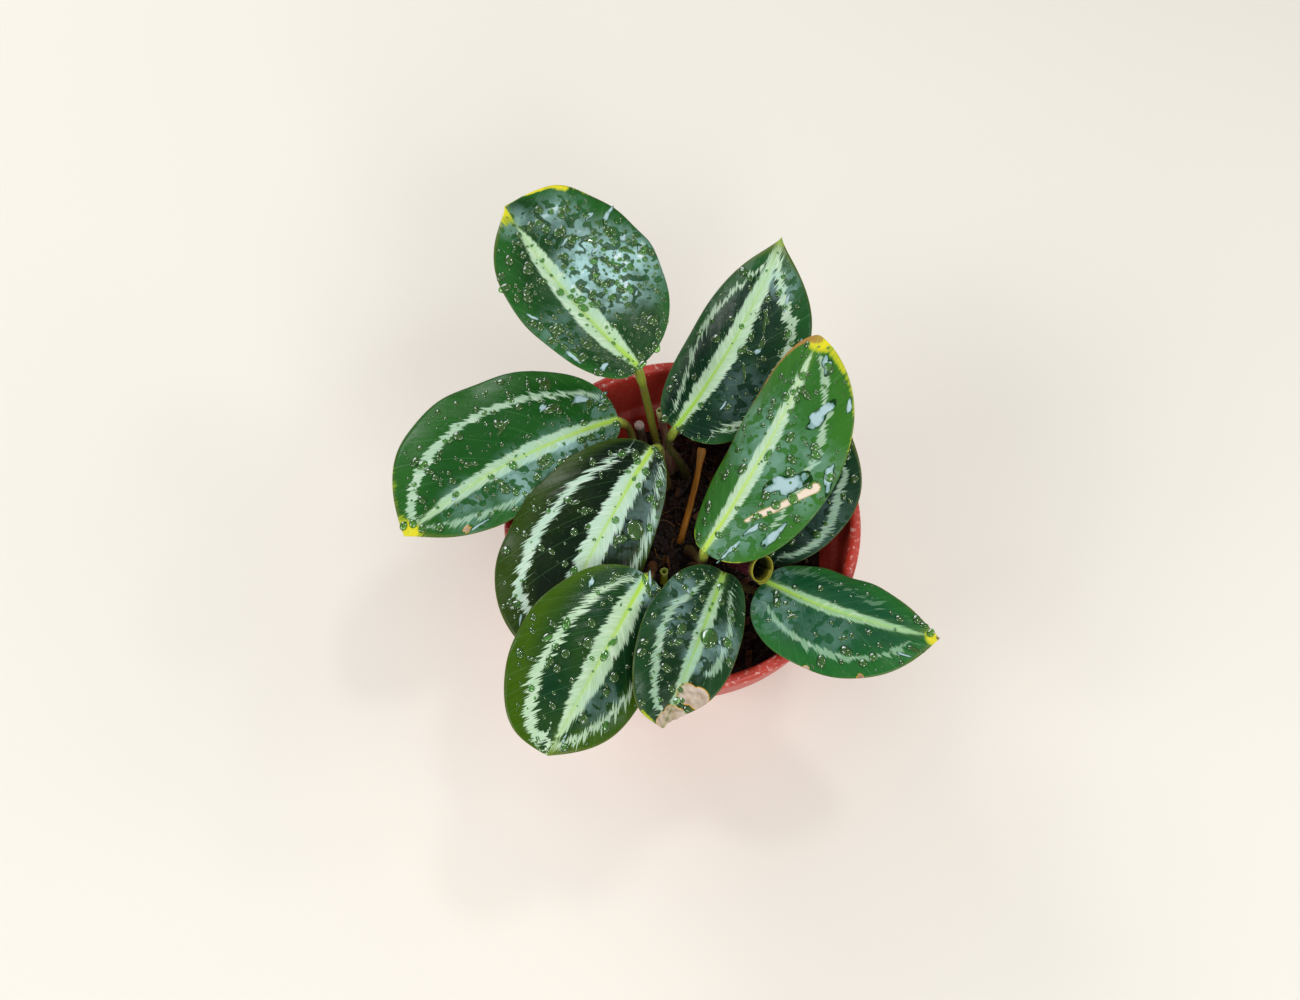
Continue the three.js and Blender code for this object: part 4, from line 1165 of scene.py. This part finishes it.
# %% Pot finish: terracotta-red polypropylene, injection moulded
def pot_plastic():
    """Moulded plastic: even colour, a soft shine, a faint grain, and pale specks of lime from hard water."""
    plastic, put = new_material("terracotta-red polypropylene, injection moulded")
    where = put("TexCoord").outputs["Object"]
    cloud = put("TexNoise", where, 35.0, 4.0)
    colour = put("Mix RGBA", put("MapRange", cloud, 0.3, 0.75), "#b02c18", "#c9453a")
    # The specks gather on the lip, where water dries, and are drawn coarser than real ones, to show.
    lip = put("MapRange", put("SeparateXYZ", where).outputs["Z"], 85.5 * MM, 88.5 * MM, 0.12, 1.0)
    specks = put("MapRange", put("TexNoise", where, 700.0, 3.0), 0.56, 0.72, 0.0, 0.75)
    colour = put("Mix RGBA", put("Math MULTIPLY", specks, lip), colour, "#ecc4b8")
    rough = put("MapRange", cloud, 0.3, 0.7, 0.36, 0.52)
    bump = put("Bump", Height=put("TexNoise", where, 1500.0, 2.0), Strength=0.25, Distance=0.2 * MM)
    return finish(plastic, Base_Color=colour, Roughness=rough, Normal=bump, IOR=1.49, Subsurface_Weight=0.08,
                  Subsurface_Radius=(0.002, 0.0006, 0.0004), Subsurface_Scale=1.0)


# %% Turn the pot and cut its drain holes
def drain_tree():
    """Cuts round holes through a mesh, evenly on a ring about the upright axis."""
    tree, put, given = new_tree("holes on a ring", {
        "Count": ("Int", DRAIN_HOLES), "Ring Radius": ("Float", DRAIN_RING * MM),
        "Hole Radius": ("Float", DRAIN_RADIUS * MM), "Depth": ("Float", DRILL_LENGTH * MM),
        "Turn": ("Float", 0.0), "Material": ("Material", None)})
    ring = put("GeometryNodeMeshCircle", Vertices=given["Count"], Radius=given["Ring Radius"])
    ring = put("GeometryNodeTransform", Geometry=ring, Rotation=put("CombineXYZ", Z=given["Turn"]))
    drill = put("GeometryNodeMeshCylinder", Vertices=40, Radius=given["Hole Radius"], Depth=given["Depth"])
    drills = put("GeometryNodeInstanceOnPoints", Points=ring, Instance=drill)
    drills = put("GeometryNodeRealizeInstances", drills)
    cut_through = put("GeometryNodeMeshBoolean DIFFERENCE", given["Geometry"], drills)
    return end_tree(tree, cut_through, given["Material"])


blank = turned("pot blank", eased(POT_PROFILE), POT_SIDES)
pot = grown("nursery_pot", blank, drain_tree(), Count=DRAIN_HOLES, Ring_Radius=DRAIN_RING * MM,
            Hole_Radius=DRAIN_RADIUS * MM, Depth=DRILL_LENGTH * MM, Turn=math.pi / DRAIN_HOLES,
            Material=pot_plastic())
pot.data.set_sharp_from_angle(angle=math.radians(38))
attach(pot, "root")
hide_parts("pot")
print("pot:", triangles(pot), "triangles")

# %% [markdown]
# ## The potting mix
#
# Potting mix is peat and bark: nearly black when wet, full of crumbs, with brown chips, root fibres and a
# few pale grains. A bump alone would look flat from the side. So the surface is the CAD solid's own, with
# finer relief, and Geometry Nodes scatter four kinds of grain over it. Each grain keeps a tone, which its
# material turns into its own colour.

# %% Soil finish: peat and bark, crumbled and wet
def mix_finish(name, dark, light, rough):
    """Crumbled plant matter. The tone kept on each grain moves its colour from dark to light."""
    grains, put = new_material(name)
    tone = put("Attribute", attribute_name="tone").outputs["Fac"]
    grain = put("TexNoise", put("TexCoord").outputs["Object"], 600.0, 5.0)
    colour = put("Mix RGBA", put("MapRange", put("Math MULTIPLY", tone, grain), 0.08, 0.6), dark, light)
    bump = put("Bump", Height=grain, Strength=0.9, Distance=0.6 * MM)
    return finish(grains, Base_Color=colour, Normal=bump, Roughness=rough)


# %% The ground of the potting mix
# In mm: the gap to the pot's wall, the depth of the finer relief, and the strip by the wall without grains.
WALL_GAP, RELIEF, BARE_STRIP = 0.3, 2.6, 2.5


def inner_radius(height):
    """The radius of the pot's inside at a height, in mm."""
    return float(np.interp(height, [2.2, 65], [38.2, 54.4]))


def soil_ground(rings=84, sides=240):
    """The soil's top from the CAD solid, sampled in rings, with finer relief, closed down to the floor."""
    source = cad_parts["soil"].data
    solid = BVHTree.FromPolygons([v.co.copy() for v in source.vertices],
                                 [tuple(f.vertices) for f in source.polygons])
    reach = inner_radius(SOIL_LEVEL) - WALL_GAP
    angle = np.linspace(0, 2 * np.pi, sides, endpoint=False)
    points = [[0.0, 0.0, SOIL_LEVEL]]
    rng = np.random.default_rng(5)
    waves = rng.uniform(0.25, 1.5, (26, 2)) * rng.choice([-1, 1], (26, 2))
    starts = rng.uniform(0, 6.28, 26)
    for ring in range(1, rings + 1):
        radius = reach * ring / rings
        for x, y in zip(radius * np.cos(angle), radius * np.sin(angle)):
            hit = solid.ray_cast(Vector((x * MM, y * MM, 0.09)), Vector((0, 0, -1)))[0]
            height = hit.z / MM if hit is not None and hit.z > 0.051 else SOIL_LEVEL
            rough = float(np.mean(np.sin(waves[:, 0] * x + waves[:, 1] * y + starts))) * RELIEF
            points.append([x, y, height + rough * float(smooth_step(0, 3, reach - radius))])
    walls = [(inner_radius(height) - WALL_GAP, height) for height in (SOIL_LEVEL - 3, 30.0, 4.1)]
    for radius, height in [*walls, (36.2, 2.5)]:
        points += [[radius * math.cos(a), radius * math.sin(a), height] for a in angle]
    points.append([0.0, 0.0, 2.5])
    ground = mesh_object("soil ground", points, round_faces(rings + 4, sides, flip=True))
    write_values(ground, "tone", np.full(len(points), 0.45))
    x, y, z = np.array(points).T
    write_values(ground, "grow", (np.hypot(x, y) < reach - BARE_STRIP) & (z > SOIL_LEVEL - 2.9))
    return ground


# %% A tree that scatters grains, chips and fibres
def scatter_tree():
    """Scatters crumbs, chips, fibres and pale grains where the ground allows them, and keeps the ground."""
    tree, put, given = new_tree("grains of potting mix", {
        "Crumbs per m2": ("Float", 2.6e5), "Chips per m2": ("Float", 1.5e4),
        "Fibres per m2": ("Float", 2.2e4),
        "Pale per m2": ("Float", 3.0e3), "Seed": ("Int", 3), "Mix": ("Material", None),
        "Bark": ("Material", None), "Fibre": ("Material", None), "Pale": ("Material", None)})
    here = put("GeometryNodeInputNamedAttribute FLOAT", Name="grow")

    def scattered(shape, density, seed, small, large, material, lift, tilt):
        """One kind of grain: a shape on random points, turned and sized between small and large."""
        spots = put("GeometryNodeDistributePointsOnFaces", Mesh=given["Geometry"],
                    Density=put("Math MULTIPLY", here, given[density]),
                    Seed=put("Math ADD", given["Seed"], float(seed)))
        size = put("FunctionNodeRandomValue FLOAT_VECTOR", small, large, Seed=seed)
        turn = put("FunctionNodeRandomValue FLOAT_VECTOR", (-tilt, -tilt, -3.14), (tilt, tilt, 3.14),
                   Seed=seed + 9)
        grains = put("GeometryNodeInstanceOnPoints", Points=spots, Instance=shape, Scale=size,
                     Rotation=put("FunctionNodeEulerToRotation", turn))
        tone = put("FunctionNodeRandomValue FLOAT", 0.0, 1.0, Seed=seed + 50)
        grains = put("GeometryNodeStoreNamedAttribute FLOAT", domain="INSTANCE", Geometry=grains,
                     Name="tone", Value=tone)
        grains = put("GeometryNodeRealizeInstances", grains)
        grains = put("GeometryNodeSetPosition", Geometry=grains, Offset=(0, 0, lift))
        return put("GeometryNodeSetMaterial", Geometry=grains, Material=given[material])

    def roughened(shape, amount, scale):
        """The shape with each of its points pushed its own way, so that it looks broken, not made."""
        noise = put("TexNoise", Scale=scale, Detail=1.0).outputs["Color"]
        push = put("VectorMath SCALE", put("VectorMath SUBTRACT", noise, (0.5, 0.5, 0.5)), amount)
        return put("GeometryNodeSetPosition", Geometry=shape, Offset=push)

    ball = put("GeometryNodeMeshIcoSphere", Radius=1.0 * MM, Subdivisions=1)
    block = put("GeometryNodeMeshCube", Size=(1.0 * MM,) * 3, Vertices_X=4, Vertices_Y=3, Vertices_Z=2)
    arc = put("GeometryNodeCurvePrimitiveBezierSegment", Resolution=7, Start=(-4 * MM, 0, 0),
              Start_Handle=(-1.5 * MM, 3 * MM, 1.2 * MM), End_Handle=(1.5 * MM, -2.6 * MM, 0.8 * MM),
              End=(4 * MM, 0.8 * MM, 0))
    ring = put("GeometryNodeCurvePrimitiveCircle", Resolution=4, Radius=0.16 * MM)
    fibre = put("GeometryNodeCurveToMesh", Curve=arc, Profile_Curve=ring, Fill_Caps=True)
    crumb, chip, pale = (roughened(shape, amount * MM, scale) for shape, amount, scale in (
        (ball, 1.0, 900.0), (block, 0.5, 1300.0), (ball, 0.6, 700.0)))
    parts = [
        scattered(crumb, "Crumbs per m2", 1, (0.45, 0.45, 0.4), (1.7, 1.5, 1.1), "Mix", 0.1 * MM, 3.1),
        scattered(chip, "Chips per m2", 2, (2.5, 1.2, 0.5), (6.5, 2.6, 1.1), "Bark", 0.4 * MM, 0.4),
        scattered(fibre, "Fibres per m2", 3, (0.5, 0.4, 0.5), (1.2, 1.2, 1.3), "Fibre", 0.6 * MM, 0.35),
        scattered(pale, "Pale per m2", 4, (0.5, 0.5, 0.4), (1.2, 1.1, 0.8), "Pale", 0.5 * MM, 3.1),
        put("GeometryNodeSetMaterial", Geometry=given["Geometry"], Material=given["Mix"])]
    joined = put("GeometryNodeJoinGeometry")
    for part in parts:
        wire(tree, part, joined.inputs[0])
    return end_tree(tree, joined)


soil = grown("potting_mix", soil_ground(), scatter_tree(), Seed=3,
             Mix=mix_finish("wet peat, crumbled", "#0c0805", "#40291a", 0.62),
             Bark=mix_finish("pine bark, chipped", "#22140c", "#7a5030", 0.58),
             Fibre=mix_finish("root fibre, dry", "#4a2c12", "#b0843c", 0.6),
             Pale=mix_finish("perlite grain, crushed", "#6c6458", "#d8d0c0", 0.8))
soil.data.set_sharp_from_angle(angle=math.radians(40))
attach(soil, "root")
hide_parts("soil")
print("soil:", triangles(soil), "triangles")

# %% [markdown]
# ## Water on the leaves
#
# The plant has just been sprayed. Water stands on wax as domes with a sharp edge, and where drops have run
# together it lies in flat pools, which mirror the window. Small drops repeat, so Geometry Nodes scatter
# them. The pools and the largest drops have a place of their own on each leaf, and are laid on it one by
# one.

# %% Water, standing on wax
# The side of a drop where a glint is painted as a glow, standing in for the window its skin mirrors, and
# the side painted lighter green, standing in for light that gathers after passing through it.
PAINTED_GLINT_SIDE, PAINTED_CAUSTIC_SIDE = (-0.26, 0.40, 0.88), (0.30, -0.50, 0.81)


def water_finish():
    """Clear water. It bends what lies under it and mirrors the lamps. Each drop also has a painted glint, a
    glow on one fixed side, and is painted lighter green on the side where light would gather.
    """
    clear, put = new_material("water, clear drops")
    coordinates = put("TexCoord")
    ripple = put("TexNoise", coordinates.outputs["Object"], 260.0, 1.0)
    # Painted glint: the skin glows where it faces one fixed side, as if it mirrored the window there.
    painted_drop_glint, rim = (put("VectorMath DOT_PRODUCT", coordinates.outputs["Normal"], side)
                  for side in (PAINTED_GLINT_SIDE, PAINTED_CAUSTIC_SIDE))
    # Painted light: the green turns lighter on the side where light would gather after passing the drop.
    colour = put("Mix RGBA", put("MapRange", rim, 0.25, 0.9), "#3f8a34", "#8ccc66")
    bump = put("Bump", Height=ripple, Strength=0.25, Distance=0.3 * MM)
    return finish(clear, Base_Color=colour, Normal=bump, Emission_Color="#f4fbff",
                  Emission_Strength=put("MapRange", painted_drop_glint, 0.972, 0.988, 0.0, 0.6), Transmission_Weight=0.86,
                  Roughness=0.02, IOR=1.33, Coat_Weight=1.0, Coat_IOR=1.55, Coat_Roughness=0.03)


# %% [markdown]
# ## Puddles that mirror the window
#
# A puddle's flat middle mirrors the pale sky in a window, and its sloping edge shows the dark leaf. A true
# mirror would show this from one side only and needs the window itself. So the pale middle is painted by
# how far inside its outline a point lies, with a rippled border.

# %% Puddle: flat water under a window
def puddle_finish():
    """Water lying flat, with a painted reflection: dark at its sloping edge and pale in its middle, as if it
    mirrored a window, with a soft bright gloss.
    """
    flat, put = new_material("water, a puddle under a window")
    inward = put("Attribute", attribute_name="inward").outputs["Fac"]
    ripple = put("TexNoise", put("TexCoord").outputs["Object"], 300.0, 2.0)
    level = put("Math MULTIPLY_ADD", put("Math SUBTRACT", ripple, 0.5), 1.6, inward)
    # Painted reflection: dark green at the sloping edge, pale grey-blue in the middle as if mirroring a
    # window.
    colour = put("Mix RGBA", put("MapRange", level, 0.28, 0.36), "#0c3a0c", "#6f9691")
    colour = put("Mix RGBA", put("MapRange", level, 0.36, 0.7), colour, "#a9c6ca")
    return finish(flat, Base_Color=colour, Roughness=0.08, IOR=1.33)


# %% A tree that scatters drops
def drop_tree():
    """Sets drops of many sizes on the wet parts of a skin, never closer than the least distance."""
    tree, put, given = new_tree("drops on wax", {
        "Drops per m2": ("Float", 5.0e4), "Least Apart": ("Float", 1.3 * MM), "Smallest": ("Float", 0.3),
        "Largest": ("Float", 1.8), "Seed": ("Int", 1), "Material": ("Material", None)})
    wet = put("GeometryNodeInputNamedAttribute FLOAT", Name="wet")
    spots = put("GeometryNodeDistributePointsOnFaces", distribute_method="POISSON", Mesh=given["Geometry"],
                Distance_Min=given["Least Apart"], Density_Max=given["Drops per m2"], Density_Factor=wet,
                Seed=given["Seed"])
    # A drop is a ball of 1 mm, cut flat just under its middle and pressed to half its height.
    ball = put("GeometryNodeMeshUVSphere", Segments=12, Rings=8, Radius=1.0 * MM)
    x, y, z = put("SeparateXYZ", put("GeometryNodeInputPosition")).outputs
    flat = put("Math MULTIPLY", put("Math MAXIMUM", z, -0.12 * MM), 0.5)
    dome = put("GeometryNodeSetPosition", Geometry=ball, Position=put("CombineXYZ", x, y, flat))
    # Most drops are small: a high power of an even chance is seldom large.
    chance = put("Math POWER", put("FunctionNodeRandomValue FLOAT", 0.0, 1.0, Seed=21), 2.8)
    size = put("MapRange", chance, 0.0, 1.0, given["Smallest"], given["Largest"])
    uneven = put("FunctionNodeRandomValue FLOAT_VECTOR", (0.8, 0.9, 0.8), (1.1, 1.5, 1.1), Seed=5)
    spin = put("FunctionNodeRandomValue FLOAT_VECTOR", (0, 0, -3.14), (0, 0, 3.14), Seed=6)
    spun = put("FunctionNodeRotateRotation", rotation_space="LOCAL", Rotation=spots.outputs["Rotation"],
               Rotate_By=put("FunctionNodeEulerToRotation", spin))
    drops = put("GeometryNodeInstanceOnPoints", Points=spots, Instance=dome, Rotation=spun,
                Scale=put("VectorMath SCALE", uneven, size))
    return end_tree(tree, drops, given["Material"])


DROP_TREE = drop_tree()
print("drop tree nodes:", len(DROP_TREE.nodes))


# %% Pools and large drops, leaf by leaf
# (share, side, length, width, turn in degrees, height), lengths in mm.
PUDDLES = {
    1: [(0.66, -0.90, 7, 2.6, -60, 0.3), (0.58, -0.82, 4, 2.2, -40, 0.3), (0.80, -0.42, 5, 1.0, -70, 0.3),
        (0.73, -0.80, 5, 1.6, -60, 0.3), (0.36, 0.80, 5, 2.4, 0, 0.35), (0.28, 0.62, 2.4, 3.6, 0, 0.3),
        (0.60, -0.65, 3.4, 1.0, -60, 0.3), (0.45, -0.52, 3.0, 1.0, -50, 0.3), (0.54, 0.80, 4, 1.2, 20, 0.3),
        (0.68, -0.55, 4, 1.2, -70, 0.3), (0.5, -0.85, 3.4, 1.8, -50, 0.3)],
    2: [(0.75, -0.75, 6, 1.2, 10, 0.3), (0.62, -0.90, 5, 1.4, 10, 0.3), (0.45, -0.35, 4, 1.0, 0, 0.3),
        (0.66, -0.42, 4, 1.4, -30, 0.3)],
    3: [(0.585, -0.50, 15.5, 6.6, -38, 0.5), (0.755, -0.66, 13, 4.4, -28, 0.45),
        (0.36, -0.72, 10, 3.2, -8, 0.4),
        (0.54, -0.90, 10, 3.2, 12, 0.4), (0.24, -0.42, 10, 1.5, -10, 0.35), (0.87, -0.80, 7.0, 3.2, 15, 0.5),
        (0.41, -0.40, 6, 2.0, -20, 0.35), (0.72, -0.95, 5, 1.6, 10, 0.35)],
    5: [(0.32, -0.38, 7, 2.6, -20, 0.4), (0.13, -0.72, 3.4, 1.8, 40, 0.35), (0.48, -0.38, 4, 1.8, 30, 0.35),
        (0.67, 0.90, 7, 1.2, 0, 0.3), (0.88, 0.12, 3.4, 1.0, 20, 0.3), (0.52, 0.88, 4, 1.0, 0, 0.3)],
    6: [(0.86, 0.10, 6, 1.6, 20, 0.35), (0.82, -0.86, 4, 1.0, 20, 0.3), (0.62, 0.75, 4, 1.0, 0, 0.3)],
    7: [(0.13, 0.22, 6, 1.2, 25, 0.3), (0.34, -0.60, 4, 1.6, 20, 0.35),
        (0.89, 0.70, 3, 0.9, 0, 0.3)],
    8: [(0.42, -0.5, 3.4, 1.0, 40, 0.3), (0.6, 0.5, 2.6, 0.9, 20, 0.3)],
    9: [(0.80, -0.86, 4, 1.0, 0, 0.3)],
}
POOLS = {
    1: [(0.60, -0.55, 7, 2.4, 30, 0.35), (0.70, -0.62, 6, 2.0, 80, 0.35), (0.55, -0.75, 5, 2.2, 20, 0.35),
        (0.78, -0.5, 6, 2.2, 60, 0.35), (0.37, 0.75, 4.5, 1.6, 0, 0.4), (0.5, 0.5, 3, 1.4, 40, 0.4),
        (0.84, -0.7, 5, 2, 110, 0.35), (0.66, -0.35, 5, 1.8, 150, 0.3)],
    2: [(0.75, -0.45, 8, 1.8, 20, 0.4), (0.68, -0.45, 7, 1.6, 0, 0.4), (0.6, -0.35, 5, 1.5, 40, 0.4),
        (0.5, 0.3, 3, 1.5, 0, 0.4)],
    3: [(0.72, -0.10, 4.5, 2.2, 0, 0.6), (0.86, -0.2, 2.6, 2.4, 0, 0.8), (0.52, -0.62, 4.5, 3.4, 70, 0.6),
        (0.84, 0.3, 3.4, 3.0, 0, 0.9), (0.76, 0.45, 2.4, 2.2, 0, 0.8), (0.30, 0.45, 3.6, 1.8, 40, 0.6),
        (0.18, 0.5, 3.0, 2.0, 40, 0.6), (0.92, -0.05, 3.2, 2.6, 0, 0.8), (0.86, -0.82, 4.4, 3.0, 60, 0.8)],
    4: [(0.86, -0.8, 3.6, 3.2, 0, 1.0), (0.73, -0.9, 3.4, 3.0, 0, 1.0)],
    5: [(0.45, -0.35, 6, 2, 0, 0.4), (0.62, -0.4, 5, 2.6, 30, 0.45), (0.35, -0.7, 6, 3, 90, 0.45),
        (0.55, 0.4, 5, 1.8, 10, 0.35), (0.3, -0.3, 5, 2, 60, 0.4)],
    6: [(0.51, 0.50, 7.2, 6.6, 0, 1.1), (0.37, 0.50, 3.4, 3, 0, 0.8), (0.26, 0.62, 3, 2.6, 0, 0.7),
        (0.64, 0.32, 4, 1.8, 40, 0.5), (0.6, -0.3, 3.4, 2.8, 0, 0.8)],
    7: [(0.26, 0.15, 8, 2.0, 45, 0.45), (0.66, 0.05, 4.5, 2, 0, 0.45), (0.67, -0.25, 4.4, 3.6, 0, 0.9),
        (0.69, -0.45, 3.6, 3, 0, 0.8), (0.68, 0.43, 3.8, 3.2, 0, 0.8), (0.72, 0.5, 3, 2.6, 0, 0.7)],
    8: [(0.65, -0.38, 4.4, 3.8, 0, 0.9), (0.66, 0.25, 7.5, 5.6, 20, 1.0), (0.5, -0.2, 3.2, 2.8, 0, 0.7)],
    9: [(0.84, -0.88, 4.5, 2, 0, 0.4), (0.5, -0.35, 4, 1.5, 30, 0.35)],
}


# %% Lay water on a leaf
# In mm: how far a pool's edge and its underside lie below the leaf's face, and the height from which a pool
# is a round bead.
EDGE_DEPTH, UNDER_DEPTH, BEAD_HEIGHT = 0.03, 0.08, 0.6


def laid(number, along, across, lift):
    """Points above the blade's visible upper face by lift."""
    blade = BLADES[number]
    fold, groove = folds_and_groove(blade, number, along, across)
    height = lift + groove + fold - SINK
    return on_blade(blade, along, across) + facing(blade, along, across) * height[:, None]


def pool_patch(number, pool, seed, rings=7, sides=30):
    """One closed puddle: a wavering outline round its place, domed a little, laid on the blade's surface."""
    share, side, length, width, turn, height = pool
    x, y = pattern_point(BLADES[number], share, side)
    angle = np.linspace(0, 2 * np.pi, sides, endpoint=False)
    roundness = 0.25 if height < BEAD_HEIGHT else 0.05
    lobes = np.sin(2 * angle + seed) + 0.6 * np.sin(3 * angle + 2.3 * seed)
    wander = 1 + roundness * (lobes + 0.4 * np.sin(5 * angle + 1.7 * seed))
    cos, sin = math.cos(math.radians(turn)), math.sin(math.radians(turn))
    points = []
    for is_dome in (True, False):
        for ring in range(1, rings + 1):
            out = math.sin(ring / rings * math.pi / 2)
            a, b = length / 2 * out * wander * np.cos(angle), width / 2 * out * wander * np.sin(angle)
            lift = height * (1 - out**4) ** 0.5 - EDGE_DEPTH if is_dome else -UNDER_DEPTH
            points.append(laid(number, x + a * cos - b * sin, y + a * sin + b * cos, np.full(sides, lift)))
        middle = height - EDGE_DEPTH if is_dome else -UNDER_DEPTH
        points.append(laid(number, np.array([x]), np.array([y]), np.array([middle])))
    block, edge = rings * sides + 1, (rings - 1) * sides
    pairs = [(k, (k + 1) % sides) for k in range(sides)]
    upper = [(block - 1, a, b) for a, b in pairs] + quads(rings, sides, flip=True)
    lower = [tuple(block + corner for corner in reversed(face)) for face in upper]
    rim = [(edge + a, block + edge + a, block + edge + b, edge + b) for a, b in pairs]
    inward = np.append(np.repeat(1 - np.arange(1, rings + 1) / rings, sides), 1.0)
    return np.vstack(points), upper + lower + rim, np.tile(inward, 2)


def pool_piece(name, number, pools, material):
    """All pools of one kind on one leaf as one piece, whose points keep how far inward they lie."""
    points, faces, inward = [], [], []
    for order, pool in enumerate(pools):
        first = sum(len(places) for places in points)
        places, patch, depth = pool_patch(number, pool, 3.1 * order + number)
        faces += [tuple(first + corner for corner in face) for face in patch]
        points.append(places)
        inward.append(depth)
    made = mesh_object(name, np.vstack(points), faces, [material])
    write_values(made, "inward", np.concatenate(inward))
    return made


# %% Water on the nine leaves
water, mirror = water_finish(), puddle_finish()
DROPS_PER_CM2 = {1: 20.0, 2: 7.0, 3: 6.0, 4: 3.0, 5: 9.0, 6: 5.5, 7: 6.0, 8: 7.0, 9: 4.5}
# A drop keeps clear of the margin and of the tip, and stays this far below the CAD model's top, in mm.
WET_SIDE, WET_SHARE, HEADROOM = 0.94, 0.96, 1.2


def wet_ground(blade_piece):
    """A copy of a blade that keeps how wet each point of its upper face may be."""
    ground = in_scene("wet ground", blade_piece.data.copy())
    share, side, band, dry = (read_values(ground, name) for name in ("share", "side", "band", "dry"))
    heights = np.array([corner.co.z for corner in ground.data.vertices])
    open_wax = (np.abs(side) < WET_SIDE) & (share < WET_SHARE) & (heights < cad_box[1][2] - HEADROOM * MM)
    open_wax &= np.arange(len(side)) < len(side) // 2
    write_values(ground, "wet", open_wax * (1 - dry) * np.where(band < 0, 0.5, 1.0))
    return ground


for number, blade_piece in blades.items():
    wetted = [grown(f"water_drops_{number}", wet_ground(blade_piece), DROP_TREE,
                    Drops_per_m2=DROPS_PER_CM2[number] * 1.0e4, Least_Apart=1.2 * MM, Seed=number * 7,
                    Material=water)]
    for label, kept, material in (("pools", POOLS, water), ("puddles", PUDDLES, mirror)):
        if number in kept:
            wetted.append(pool_piece(f"water_{label}_{number}", number, kept[number], material))
    for piece in wetted:
        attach(piece, "root")
    print("water on leaf", number, "-", triangles(*wetted), "triangles")

# %% [markdown]
# ## The floor, the light and the camera
#
# The plant stands on a plain cream floor, as in a small photo studio. One large lamp would light it evenly,
# but wax and water need several bright places to mirror. So there are four large soft lamps on its four
# sides and two small ones above, as small as a window looks from a table. The camera looks down on the
# plant from above the front edge. Its place and lens were worked out from the ellipse of the pot's lip.

# %% Floor and lamps
# Each lamp has its place in mm, the height in mm that it is aimed at, its two sides in mm and its watts.
LAMPS = {
    "front softbox": ((330, -900, 870), 60, (620, 620), 7.2),
    "left softbox": ((-1000, -380, 860), 60, (620, 620), 6.4),
    "back softbox": ((-640, 880, 760), 60, (560, 560), 5.2),
    "right softbox": ((1050, -60, 640), 60, (420, 420), 2.3),
    "high window": ((250, 290, 1010), 90, (130, 90), 1.0),
    "right window": ((760, 120, 800), 90, (130, 90), 0.5),
}
FLOOR_HALF = 3000

cream = finish(new_material("studio floor, matt cream paint")[0], Base_Color="#eeebe2", Roughness=0.9)
corners = [(x * FLOOR_HALF, y * FLOOR_HALF, 0) for x, y in ((-1, -1), (1, -1), (1, 1), (-1, 1))]
floor = mesh_object("floor", corners, [(0, 1, 2, 3)], [cream], smooth=False)

world = bpy.data.worlds.new("studio air")
bpy.context.scene.world = world
world.use_nodes = True
air = world.node_tree.nodes["Background"].inputs
air["Color"].default_value, air["Strength"].default_value = linear("#fbf8f2"), 0.3

for name, (place, aim, size, power) in LAMPS.items():
    lamp = bpy.data.lights.new(name, "AREA")
    lamp.shape, lamp.size, lamp.size_y = "RECTANGLE", size[0] * MM, size[1] * MM
    lamp.energy = power
    made = in_scene(name, lamp)
    made.location = Vector(place) * MM
    made.rotation_euler = (Vector(place) - Vector((0, 0, aim))).to_track_quat("Z", "Y").to_euler()
print("lamps:", len(LAMPS))

# %% The camera
camera = in_scene("camera", bpy.data.cameras.new("camera"))
camera.location = Vector((-11.4, -174.4, 505.4)) * MM
camera.rotation_euler = (math.radians(23.5), 0, 0)
camera.data.lens, camera.data.sensor_width = 35.67, 36.0
camera.data.clip_start = 0.01
bpy.context.scene.camera = camera
bpy.context.scene.view_settings.view_transform = "Standard"
print("camera at", [round(value, 4) for value in camera.location])
